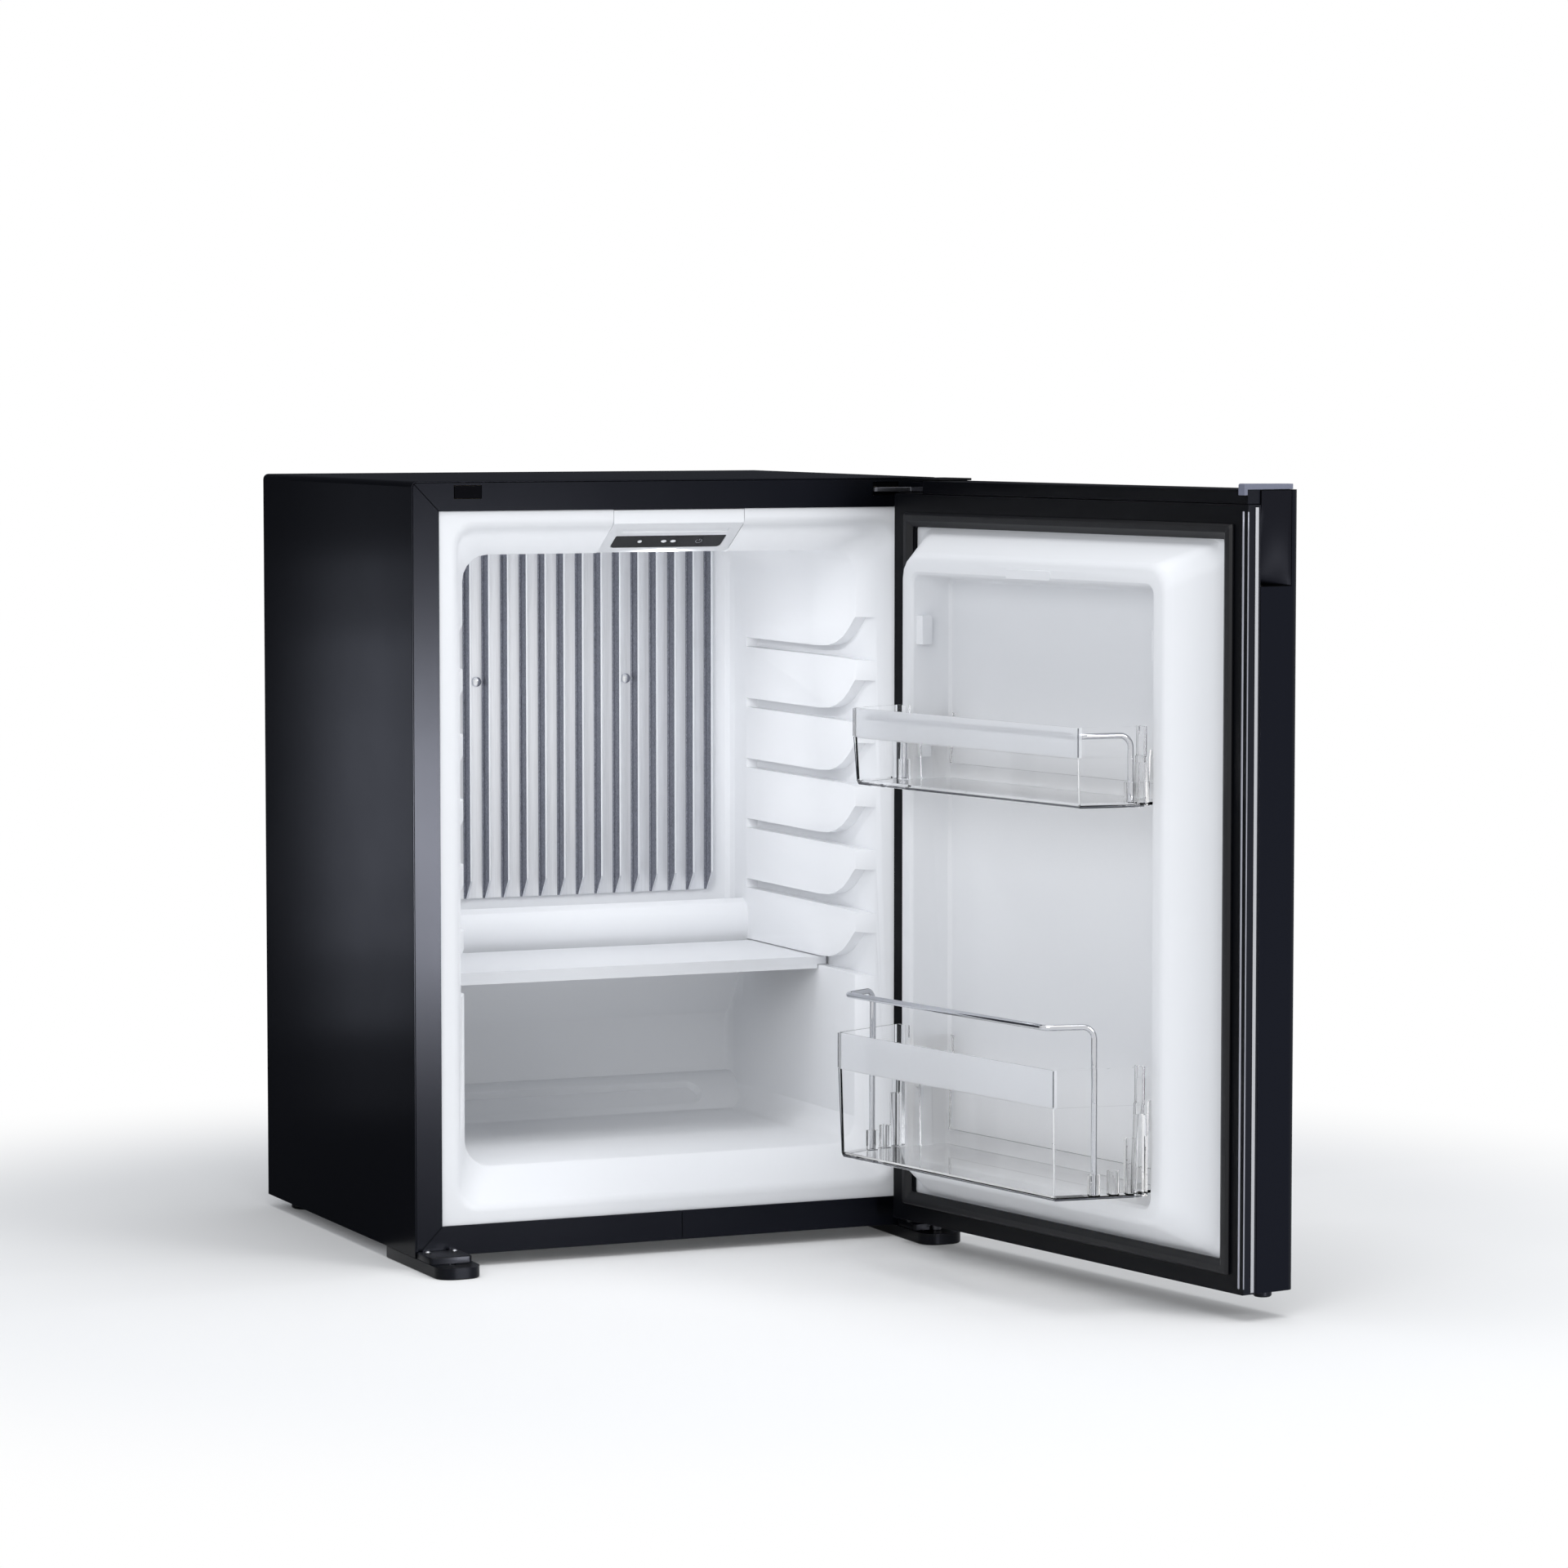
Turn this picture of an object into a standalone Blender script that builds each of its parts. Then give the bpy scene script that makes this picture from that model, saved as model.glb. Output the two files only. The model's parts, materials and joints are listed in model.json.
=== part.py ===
"""Compact free-standing minibar fridge with an absorption cooling unit.

Frame while modelling: X to the right, Y to the back, Z up, seen from the front.
X = 0 is the left side of the cabinet, Y = 0 its front face, Z = 0 its underside.
The door is modelled closed in a frame of its own, on the hinge pin, then turned open.
"""

import math

import bmesh
import bpy
from mathutils import Vector

for old in list(bpy.data.objects):
    bpy.data.objects.remove(old, do_unlink=True)

MM = 0.001
GAP = 0.3 * MM

# Cabinet: outside sizes and sheet thickness
BODY_W = 402 * MM
BODY_H = 540 * MM
BODY_D = 323 * MM
SHEET = 1.0 * MM
SHELL_BEND = 4 * MM
FLOOR_Z = -8.5 * MM

# Front frame: the dark border round the opening
FRAME_SIDE = 20.3 * MM
FRAME_RAIL = 21.0 * MM
FRAME_T = 1.5 * MM
FRAME_DEEP = 11.4 * MM

# Liner: the white inner tub, with its slanted entry
LINER_T = 1.5 * MM
FLANGE_Y = GAP + FRAME_T + GAP
ENTRY_SIDE = 33.4 * MM
ENTRY_BOTTOM = 33.0 * MM
HEADER_H = 31.0 * MM
HEADER_FALL = 21.4 * MM
ENTRY_TOP = BODY_H - HEADER_H
KNEE_Y = 33.0 * MM
WALL_X = 50.0 * MM
FLOOR_IN = 56.6 * MM
CEILING = ENTRY_TOP - HEADER_FALL
BACK_WALL = 60.0 * MM
BACK_Y = BODY_D - BACK_WALL

# Shelf grooves in both side walls
GROOVES = 6
GROOVE_DROP = 72.1 * MM
GROOVE_TOP = CEILING - GROOVE_DROP
GROOVE_PITCH = 45.7 * MM
GROOVE_H = 7.0 * MM
GROOVE_DEEP = 8.8 * MM
GROOVE_END = BACK_Y - 31.5 * MM
MOUTH_H = 23.5 * MM

# Shelf
SHELF_GROOVE = 6
SHELF_FRONT = 98.5 * MM
SHELF_BACK = GROOVE_END - 7.0 * MM
SHELF_T = 5.9 * MM
SHELF_LIP = 8.8 * MM

# Evaporator in the upper back of the tub
BLADES = 18
BLADE_PITCH = 15.0 * MM
BLADE_T = 1.6 * MM
BLADE_DEEP = 11.4 * MM
COMB_OFFSET = 2.7 * MM
EVAP_LOW = 222.8 * MM
EVAP_HIGH = CEILING - 4.1 * MM
EVAP_PLATE_W = BLADE_PITCH * (BLADES - 1) + BLADE_T
EVAP_PLATE_T = 2.0 * MM

# Control housing in the entry header
HOUSING_W = 99.4 * MM
DISPLAY_W = 84.0 * MM
DISPLAY_H = 15.4 * MM
DISPLAY_DOWN = 17.2 * MM

# Door: s runs from the hinge side to the free side, off from the inner plane to the cabinet
DOOR_SIDE_GAP = 1.0 * MM
DOOR_W = BODY_W - 2 * DOOR_SIDE_GAP
DOOR_T = 43.5 * MM
DOOR_GAP = 4.0 * MM
DOOR_TOP_GAP = 1.8 * MM
DOOR_LOW = 10.0 * MM
DOOR_HIGH = BODY_H - DOOR_TOP_GAP
TOP_RAIL_H = 9.0 * MM
INNER_LOW = DOOR_LOW - GAP
INNER_HIGH = DOOR_HIGH - TOP_RAIL_H - GAP
DOOR_ANGLE = 100.0
SKIN_T = 1.2 * MM
SKIN_EDGE = 32.7 * MM

# Hinge pin: its place in the closed door
PIN_S = 14.5 * MM
PIN_OFF = 27.8 * MM
PIN_R = 3.2 * MM
PIN_X = BODY_W - DOOR_SIDE_GAP - PIN_S
PIN_Y = -DOOR_GAP - PIN_OFF
PLATE_LOW = BODY_H - 10.0 * MM
PLATE_T = 3.0 * MM

# Gasket and the door's white liner
GASKET_IN = 14.2 * MM
GASKET_W = 9.6 * MM
DYKE_H = 30.0 * MM
DYKE_MID = DOOR_W / 2 + 0.5 * MM
CREST_OUT = DOOR_W / 2 - 51.5 * MM
CREST_IN = CREST_OUT - 12.0 * MM
RECESS_LOW = INNER_LOW + 53.1 * MM
RECESS_HIGH = INNER_HIGH - 54.9 * MM

# Door bins and their wires
BIN_WALL = 1.9 * MM
WIRE_R = 2.0 * MM
SLEEVE_R = 4.2 * MM
SLEEVE_H = 16.0 * MM
LUG_H = 20.0 * MM
LUG_W = 10.0 * MM


def material(name, color, rough, metal=0.0):
    mat = bpy.data.materials.get(name) or bpy.data.materials.new(name)
    mat.use_nodes = True
    shader = mat.node_tree.nodes["Principled BSDF"]
    shader.inputs["Base Color"].default_value = (*color, 1.0)
    shader.inputs["Roughness"].default_value = rough
    shader.inputs["Metallic"].default_value = metal
    mat.diffuse_color = (*color, 1.0)
    return mat


BLACK_PAINT = material("black_paint", (0.012, 0.013, 0.016), 0.45)
BLACK_PLASTIC = material("black_plastic", (0.01, 0.01, 0.012), 0.4)
BLACK_GLOSS = material("black_gloss", (0.005, 0.005, 0.006), 0.12)
WHITE = material("white_plastic", (0.83, 0.85, 0.88), 0.35)
FOAM = material("foam", (0.75, 0.66, 0.42), 0.9)
RUBBER = material("rubber", (0.02, 0.02, 0.024), 0.6)
ALU = material("aluminium", (0.62, 0.64, 0.67), 0.38, 1.0)
STEEL = material("steel", (0.55, 0.56, 0.58), 0.35, 1.0)
CHROME = material("chrome", (0.8, 0.81, 0.83), 0.08, 1.0)
GALV = material("galvanised", (0.5, 0.52, 0.54), 0.5, 1.0)
CLEAR = material("clear_plastic", (0.82, 0.85, 0.88), 0.08)
GREY = material("grey_plastic", (0.2, 0.21, 0.25), 0.45)
LENS = material("lens", (0.9, 0.92, 0.95), 0.2)
PIPE = material("pipe_paint", (0.02, 0.02, 0.022), 0.5)


# Shape helpers
def fillet(points, radius, steps=4):
    """Corner points replaced by arcs: each starts r / tan(half angle) away from its corner."""
    radii = radius if isinstance(radius, (list, tuple)) else [radius] * len(points)
    out = []
    for i, corner in enumerate(points):
        here = Vector(corner)
        r = radii[i]
        if r <= 0:
            out.append(tuple(here))
            continue
        a = (Vector(points[i - 1]) - here).normalized()
        b = (Vector(points[(i + 1) % len(points)]) - here).normalized()
        half = a.angle(b) / 2
        reach = r / math.tan(half)
        middle = here + (a + b).normalized() * (r / math.sin(half))
        start, end = here + a * reach - middle, here + b * reach - middle
        sweep = math.pi - 2 * half
        for k in range(steps + 1):
            t = k / steps
            w0 = math.sin((1 - t) * sweep) / math.sin(sweep)
            w1 = math.sin(t * sweep) / math.sin(sweep)
            out.append(tuple(middle + start * w0 + end * w1))
    return out


def area(points):
    return 0.5 * sum(
        points[i - 1][0] * p[1] - p[0] * points[i - 1][1] for i, p in enumerate(points)
    )


def inset(points, d):
    """A closed outline moved inwards by d along each side's normal (outwards if d is negative)."""
    turn = 1 if area(points) > 0 else -1
    out = []
    for i, p in enumerate(points):
        p = Vector(p)
        e0 = (p - Vector(points[i - 1])).normalized()
        e1 = (Vector(points[(i + 1) % len(points)]) - p).normalized()
        n0 = Vector((-e0.y, e0.x)) * turn
        n1 = Vector((-e1.y, e1.x)) * turn
        both = n0 + n1
        out.append(tuple(p + both * (2 * d / both.length_squared)))
    return out


def rect(a0, a1, b0, b1, r=0.0, steps=4):
    corners = [(a0, b0), (a1, b0), (a1, b1), (a0, b1)]
    return fillet(corners, r, steps) if r > 0 else corners


def circle(a, b, r, sides=16, start=0.0):
    turns = [start + 2 * math.pi * k / sides for k in range(sides)]
    return [(a + r * math.cos(t), b + r * math.sin(t)) for t in turns]


def place(p, axis, h):
    return {"x": (h, p[0], p[1]), "y": (p[0], h, p[1]), "z": (p[0], p[1], h)}[axis]


def solid(name, verts, faces, mat):
    mesh = bpy.data.meshes.new(name)
    bm = bmesh.new()
    made = [bm.verts.new(v) for v in verts]
    for face in faces:
        bm.faces.new([made[i] for i in face])
    bmesh.ops.recalc_face_normals(bm, faces=bm.faces)
    bm.to_mesh(mesh)
    bm.free()
    mesh.materials.append(mat)
    obj = bpy.data.objects.new(name, mesh)
    bpy.context.scene.collection.objects.link(obj)
    return obj


def loft(name, rings, mat):
    """A closed skin through rings of equally many points, with a flat cap on each end."""
    n = len(rings[0])
    verts = [p for ring in rings for p in ring]
    faces = [list(range(n)), list(range(len(verts) - n, len(verts)))]
    for k in range(len(rings) - 1):
        for i in range(n):
            j = (i + 1) % n
            faces.append([k * n + i, k * n + j, (k + 1) * n + j, (k + 1) * n + i])
    return solid(name, verts, faces, mat)


def prism(name, outline, axis, lo, hi, mat):
    return loft(name, [[place(p, axis, h) for p in outline] for h in (lo, hi)], mat)


def box(name, x0, x1, y0, y1, z0, z1, mat):
    return prism(name, rect(x0, x1, y0, y1), "z", z0, z1, mat)


def turned(name, profile, x, y, z, axis, mat, sides=20):
    """A closed profile of (radius, height) pairs turned round an axis through x, y, z."""
    verts, faces, n = [], [], len(profile)
    for k in range(sides):
        t = 2 * math.pi * k / sides
        for r, h in profile:
            a, b = r * math.cos(t), r * math.sin(t)
            spot = {"x": (h, a, b), "y": (a, h, b), "z": (a, b, h)}[axis]
            verts.append((x + spot[0], y + spot[1], z + spot[2]))
    for k in range(sides):
        for i in range(n):
            j, m = (i + 1) % n, (k + 1) % sides
            if profile[i][0] or profile[j][0]:
                faces.append([k * n + i, k * n + j, m * n + j, m * n + i])
    obj = solid(name, verts, faces, mat)
    bm = bmesh.new()
    bm.from_mesh(obj.data)
    bmesh.ops.remove_doubles(bm, verts=bm.verts, dist=1e-7)
    bmesh.ops.recalc_face_normals(bm, faces=bm.faces)
    bm.to_mesh(obj.data)
    bm.free()
    return obj


def rod(name, x, y, z, axis, r, length, mat, sides=16):
    """A plain round bar that starts at x, y, z and runs along the axis."""
    centre = {"x": (y, z, x), "y": (x, z, y), "z": (x, y, z)}[axis]
    ring = circle(centre[0], centre[1], r, sides)
    return prism(name, ring, axis, centre[2], centre[2] + length, mat)


def pipe(name, path, r, mat, bend, steps=5, sides=3):
    """A round tube along a path whose corners are bent with the given radius."""
    data = bpy.data.curves.new(name, "CURVE")
    data.dimensions = "3D"
    data.bevel_depth = r
    data.bevel_resolution = sides
    data.use_fill_caps = True
    points = [Vector(path[0])]
    for i in range(1, len(path) - 1):
        here = Vector(path[i])
        a = (Vector(path[i - 1]) - here).normalized()
        b = (Vector(path[i + 1]) - here).normalized()
        half = a.angle(b) / 2
        middle = here + (a + b).normalized() * (bend / math.sin(half))
        start = here + a * (bend / math.tan(half)) - middle
        end = here + b * (bend / math.tan(half)) - middle
        sweep = math.pi - 2 * half
        for k in range(steps + 1):
            t = k / steps
            w0 = math.sin((1 - t) * sweep) / math.sin(sweep)
            w1 = math.sin(t * sweep) / math.sin(sweep)
            points.append(middle + start * w0 + end * w1)
    points.append(Vector(path[-1]))
    spline = data.splines.new("POLY")
    spline.points.add(len(points) - 1)
    for spot, p in zip(spline.points, points):
        spot.co = (*p, 1.0)
    data.materials.append(mat)
    obj = bpy.data.objects.new(name, data)
    bpy.context.scene.collection.objects.link(obj)
    return obj


def settle(obj):
    """The object's modifiers worked into its mesh."""
    bpy.context.view_layer.update()
    graph = bpy.context.evaluated_depsgraph_get()
    mesh = bpy.data.meshes.new_from_object(obj.evaluated_get(graph))
    obj.modifiers.clear()
    obj.data = mesh
    return obj


def combine(obj, others, how):
    """Union or difference with each of the other objects, which are used up."""
    for other in others:
        mod = obj.modifiers.new(how, "BOOLEAN")
        mod.operation = how
        mod.solver = "EXACT"
        mod.object = other
        settle(obj)
        bpy.data.objects.remove(other, do_unlink=True)
    return obj


def cut(obj, *others):
    return combine(obj, others, "DIFFERENCE")


def join(obj, *others):
    return combine(obj, others, "UNION")


def group(name, objects):
    """Separate shapes that don't touch gathered in one mesh, so that one Boolean uses them all."""
    bm = bmesh.new()
    for obj in objects:
        bm.from_mesh(obj.data)
        bpy.data.objects.remove(obj, do_unlink=True)
    mesh = bpy.data.meshes.new(name)
    bm.to_mesh(mesh)
    bm.free()
    obj = bpy.data.objects.new(name, mesh)
    bpy.context.scene.collection.objects.link(obj)
    return obj


# Outer shell, an inverted U of sheet steel
x0, x1 = 0.0, BODY_W
shell_out = fillet(
    [(x0, 0), (x1, 0), (x1, BODY_H), (x0, BODY_H)], [0, 0, SHELL_BEND, SHELL_BEND]
)
shell_in = fillet(
    [(SHEET, -MM), (x1 - SHEET, -MM), (x1 - SHEET, BODY_H - SHEET), (SHEET, BODY_H - SHEET)],
    [0, 0, SHELL_BEND - SHEET, SHELL_BEND - SHEET],
)
shell = prism("outer_shell", shell_out, "y", 0, BODY_D, BLACK_PAINT)
cut(shell, prism("hollow", shell_in, "y", -MM, BODY_D + MM, BLACK_PAINT))

# Front frame with the two hinge slots
in_x0, in_x1 = SHEET + GAP, BODY_W - SHEET - GAP
in_z0, in_z1 = GAP, BODY_H - SHEET - GAP
FIT_BEND = SHELL_BEND - SHEET - GAP


def inside_line(d, z0, z1):
    """The room inside the shell as an outline in (x, z), moved inwards by d on both sides."""
    r = FIT_BEND + 0.2 * MM
    return fillet(rect(in_x0 + d, in_x1 - d, z0, z1), [0, 0, r, r], 3)


frame = prism("front_frame", inside_line(0, in_z0, in_z1), "y", GAP, GAP + FRAME_DEEP, BLACK_PAINT)
opening = rect(FRAME_SIDE, BODY_W - FRAME_SIDE, FRAME_RAIL, BODY_H - FRAME_RAIL)
pocket = rect(in_x0 + FRAME_T, in_x1 - FRAME_T, in_z0 + FRAME_T, in_z1 - FRAME_T)
SLOT_X0, SLOT_X1 = 31.4 * MM, 51.9 * MM
SLOT_Z0, SLOT_Z1 = PLATE_LOW - 2.4 * MM, PLATE_LOW + 6.9 * MM
slots = [
    box("slot", a, b, -MM, 3 * MM, SLOT_Z0, SLOT_Z1, BLACK_PAINT)
    for a, b in ((SLOT_X0, SLOT_X1), (BODY_W - SLOT_X1, BODY_W - SLOT_X0))
]
cut(
    frame,
    prism("opening", opening, "y", -MM, 20 * MM, BLACK_PAINT),
    prism("pocket", pocket, "y", GAP + FRAME_T, 20 * MM, BLACK_PAINT),
    group("slots", slots),
)
plug = box(
    "hinge_slot_plug", SLOT_X0 + GAP, SLOT_X1 - GAP, -0.2 * MM, 3.0 * MM,
    SLOT_Z0 + GAP, SLOT_Z1 - GAP, BLACK_PLASTIC,
)

# Liner: cavity rings from the front flange to the back, each row y, side, bottom, top, radius
KNEE_CUT, KNEE_LONG = 0.7 * MM, 2.4 * MM
slope_x = (WALL_X - KNEE_CUT - ENTRY_SIDE) / (KNEE_Y - FLANGE_Y)
slope_lo = (FLOOR_IN - KNEE_CUT - ENTRY_BOTTOM) / (KNEE_Y - FLANGE_Y)
slope_hi = (ENTRY_TOP - CEILING - KNEE_CUT) / (KNEE_Y - FLANGE_Y)
LEAD = 4 * MM
CAVITY = [
    (FLANGE_Y, ENTRY_SIDE, ENTRY_BOTTOM, ENTRY_TOP, 15 * MM),
    (KNEE_Y, WALL_X - KNEE_CUT, FLOOR_IN - KNEE_CUT, CEILING + KNEE_CUT, 19 * MM),
    (KNEE_Y + KNEE_LONG, WALL_X, FLOOR_IN, CEILING, 19 * MM),
    (BACK_Y - 9 * MM, WALL_X, FLOOR_IN, CEILING, 18 * MM),
    (BACK_Y - 3 * MM, WALL_X + 1.5 * MM, FLOOR_IN + 1.4 * MM, CEILING - 1.6 * MM, 16 * MM),
    (BACK_Y, WALL_X + 4.5 * MM, FLOOR_IN + 4.4 * MM, CEILING - 3.2 * MM, 13 * MM),
]


def tub_ring(y, side, low, high, r, grow=0.0):
    outline = rect(side - grow, BODY_W - side + grow, low - grow, high + grow, r + grow, 5)
    return [place(p, "y", y) for p in outline]


def tub_outside(name, grow, mat):
    """The tub's outer side with its flange, grown by the given distance."""
    extra = grow - LINER_T
    edge, top = 14 * MM - extra, BODY_H - 15 * MM + extra
    back = FLANGE_Y + LINER_T + extra
    rings = [tub_ring(y, edge, edge, top, 4 * MM) for y in (FLANGE_Y - extra, back)]
    for k, row in enumerate(CAVITY):
        y = row[0] + (0, 0, 0, 0, 0.8, 1.0)[k] * grow
        rings.append(tub_ring(max(y, back), *row[1:], grow))
    return loft(name, rings, mat)


first = CAVITY[0]
lead_ring = tub_ring(
    first[0] - LEAD, first[1] - slope_x * LEAD, first[2] - slope_lo * LEAD,
    first[3] + slope_hi * LEAD, first[4] - 0.5 * MM,
)
cavity = loft("cavity", [lead_ring] + [tub_ring(*row) for row in CAVITY], WHITE)

# Drip ledge under the blades, and the low hump at the foot of the back wall: each point is its
# distance in front of the back wall, and its height
BEHIND = -12 * MM
ledge_points = [
    (BEHIND, 207.0 * MM), (6.0 * MM, 206.0 * MM), (15.0 * MM, 210.5 * MM), (20.0 * MM, 216.0 * MM),
    (25.0 * MM, 217.2 * MM), (30.8 * MM, 213.8 * MM), (34.0 * MM, 206.5 * MM),
    (34.6 * MM, 198.0 * MM), (32.8 * MM, 190.0 * MM), (28.0 * MM, 180.0 * MM),
    (22.5 * MM, 170.0 * MM), (15.0 * MM, 156.5 * MM), (6.5 * MM, 140.5 * MM),
    (1.0 * MM, 128.0 * MM), (BEHIND, 105.0 * MM),
]
hump_points = [
    (BEHIND, 50 * MM), (34.4 * MM, 50 * MM), (34.0 * MM, 56.2 * MM), (30.5 * MM, 58.4 * MM),
    (6.5 * MM, 80.4 * MM), (3.0 * MM, 82.6 * MM), (BEHIND, 84.5 * MM),
]
ledge_line = [(BACK_Y - a, b) for a, b in ledge_points]
hump_line = [(BACK_Y - a, b) for a, b in hump_points]
for line in (ledge_line, hump_line):
    cut(cavity, prism("bulge", line, "x", WALL_X - 6 * MM, BODY_W - WALL_X + 6 * MM, WHITE))


def groove_line(k, grow=0.0):
    """One groove's outline in (y, z): level at the back, with a mouth that widens upwards."""
    t = GROOVE_TOP - k * GROOVE_PITCH
    low = t - GROOVE_H
    line = [
        (GROOVE_END, low), (GROOVE_END, t), (97 * MM, t), (80 * MM, t + 1.0 * MM),
        (68 * MM, t + 3.6 * MM), (56 * MM, t + 8.2 * MM), (46 * MM, t + 14.5 * MM),
        (39 * MM, t + 20.0 * MM), (34.5 * MM, t + MOUTH_H), (5 * MM, t + MOUTH_H),
        (5 * MM, low - 1.5 * MM), (60 * MM, low),
    ]
    return inset(line, -grow) if grow else line


def grooves(name, deep, inner, grow):
    """The prisms of all grooves on both sides, from their depth to the given inner plane."""
    made = []
    for k in range(GROOVES):
        line = groove_line(k, grow)
        lo, hi = WALL_X - deep, inner
        made.append(prism("g", line, "x", lo, hi, WHITE))
        made.append(prism("g", line, "x", BODY_W - hi, BODY_W - lo, WHITE))
    return group(name, made)


liner = tub_outside("inner_liner", LINER_T, WHITE)
join(liner, grooves("housings", GROOVE_DEEP + LINER_T, WALL_X - 0.5 * MM, LINER_T))
cut(liner, cavity, grooves("cuts", GROOVE_DEEP, WALL_X + 3 * MM, 0.0))
pocket_x = WALL_X + 2.6 * MM
ledge_pocket = inset(ledge_line, 2.0 * MM)
cut(liner, prism("hollow", ledge_pocket, "x", pocket_x, BODY_W - pocket_x, WHITE))

# Long slot with round ends pressed into the hump's slanted face
hump_a, hump_b = Vector(hump_line[3]), Vector(hump_line[4])
up_face = (hump_b - hump_a).normalized()
face_out = Vector((-up_face.y, up_face.x))
SLOT_LONG, SLOT_WIDE, SLOT_DEEP = BODY_W - 164 * MM, 22 * MM, 5.0 * MM
mid_face = hump_a + (hump_b - hump_a) * 0.52


def on_face(a, b, depth):
    """A point on the slanted face: a along X from the middle, b up the face, depth out of it."""
    yz = mid_face + up_face * b + face_out * depth
    return (BODY_W / 2 + a, yz.x, yz.y)


stadium = rect(-SLOT_LONG / 2, SLOT_LONG / 2, -SLOT_WIDE / 2, SLOT_WIDE / 2, SLOT_WIDE / 2 - 0.01 * MM, 6)
small = rect(
    -SLOT_LONG / 2 + 2.5 * MM, SLOT_LONG / 2 - 2.5 * MM, -SLOT_WIDE / 2 + 2.5 * MM,
    SLOT_WIDE / 2 - 2.5 * MM, SLOT_WIDE / 2 - 2.51 * MM, 6,
)
dish = [[on_face(a, b, 6 * MM) for a, b in stadium], [on_face(a, b, 0) for a, b in stadium]]
dish.append([on_face(a, b, -SLOT_DEEP) for a, b in small])
cut(liner, loft("dish", dish, WHITE))

# Window for the control housing
HOUSE_X0 = (BODY_W - HOUSING_W) / 2
HOUSE_X1 = BODY_W - HOUSE_X0
HOUSE_TOP = BODY_H - FRAME_RAIL - GAP
HOUSE_BACK = 61.7 * MM
cut(
    liner,
    box(
        "window", HOUSE_X0 - GAP, HOUSE_X1 + GAP, -MM, HOUSE_BACK + GAP,
        CEILING - 8 * MM, HOUSE_TOP + GAP, WHITE,
    ),
)
house_line = [
    (FLANGE_Y, HOUSE_TOP), (FLANGE_Y, ENTRY_TOP), (KNEE_Y, CEILING + 1.4 * MM),
    (KNEE_Y + 4 * MM, CEILING + 0.3 * MM), (KNEE_Y + 12 * MM, CEILING), (HOUSE_BACK, CEILING),
    (HOUSE_BACK, CEILING + 12 * MM), (30 * MM, HOUSE_TOP),
]
housing = prism("control_housing", house_line, "x", HOUSE_X0, HOUSE_X1, WHITE)
head_a, head_b = Vector((FLANGE_Y, ENTRY_TOP)), Vector((KNEE_Y, CEILING + 1.4 * MM))
down_face = (head_b - head_a).normalized()
head_out = Vector((down_face.y, -down_face.x))


def on_header(a, b, depth):
    """A point on the slanted header: a along X from the middle, b down the slope."""
    yz = head_a + down_face * b + head_out * depth
    return (BODY_W / 2 + a, yz.x, yz.y)


def header_block(name, outline, top, bottom, mat):
    return loft(name, [[on_header(a, b, h) for a, b in outline] for h in (top, bottom)], mat)


def strip_line(grow):
    corners = rect(
        -DISPLAY_W / 2 - grow, DISPLAY_W / 2 + grow,
        DISPLAY_DOWN - grow, DISPLAY_DOWN + DISPLAY_H + grow,
    )
    return fillet(corners, [0.6 * MM + grow, 0.6 * MM + grow, 3 * MM, 3 * MM], 4)


cut(
    housing,
    header_block("pocket", strip_line(GAP), 3 * MM, -1.6 * MM, WHITE),
    header_block("finger_line", rect(-40 * MM, 41 * MM, 7.5 * MM, 12 * MM), 3 * MM, -0.6 * MM, WHITE),
)
display = header_block("control_display", strip_line(0), 0.0, -1.3 * MM, BLACK_GLOSS)
LAMPS = {"light_lens_left": -3.5 * MM, "light_lens_right": 3.6 * MM, "status_lens": -21.8 * MM}
lamp_down = DISPLAY_DOWN + 7.4 * MM
for lamp, a in LAMPS.items():
    rx, ry = (2.1 * MM, 1.6 * MM) if lamp != "status_lens" else (1.6 * MM, 1.6 * MM)
    ring = [(a + rx * u, lamp_down + ry * v) for u, v in circle(0, 0, 1, 14)]
    wide = [(a + (rx + GAP) * u, lamp_down + (ry + GAP) * v) for u, v in circle(0, 0, 1, 14)]
    cut(display, header_block("hole", wide, 2 * MM, -0.8 * MM, BLACK_GLOSS))
    header_block(lamp, ring, 0.15 * MM, -0.5 * MM, LENS)

# Foam: a block round the tub, shaped by the same rings
foam_slim = inside_line(FRAME_T + GAP, in_z0 + FRAME_T + GAP, in_z1 - FRAME_T - GAP)
foam_full = inside_line(0, 1.5 * MM + GAP, in_z1)
foam = loft(
    "insulation_foam",
    [
        [place(p, "y", FLANGE_Y + LINER_T + 0.5 * MM) for p in foam_slim],
        [place(p, "y", GAP * 2 + FRAME_DEEP) for p in foam_slim],
        [place(p, "y", GAP * 2 + FRAME_DEEP) for p in foam_full],
        [place(p, "y", BODY_D - 3.1 * MM) for p in foam_full],
    ],
    FOAM,
)
cut(
    foam,
    tub_outside("tub", LINER_T + GAP, FOAM),
    grooves("housings", GROOVE_DEEP + LINER_T + GAP, WALL_X + 2 * MM, LINER_T + GAP),
    prism("house", inset(house_line, -GAP), "x", HOUSE_X0 - GAP, HOUSE_X1 + GAP, FOAM),
    box(
        "hinge", BODY_W - SLOT_X1 - 0.1 * MM, BODY_W - SLOT_X0 - 0.1 * MM, 0, 40 * MM,
        PLATE_LOW - GAP, PLATE_LOW + PLATE_T + GAP, FOAM,
    ),
)
fill = prism(
    "fill", inset(ledge_line, 2.0 * MM + GAP), "x", pocket_x + GAP, BODY_W - pocket_x - GAP, FOAM
)
join(foam, fill)

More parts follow.
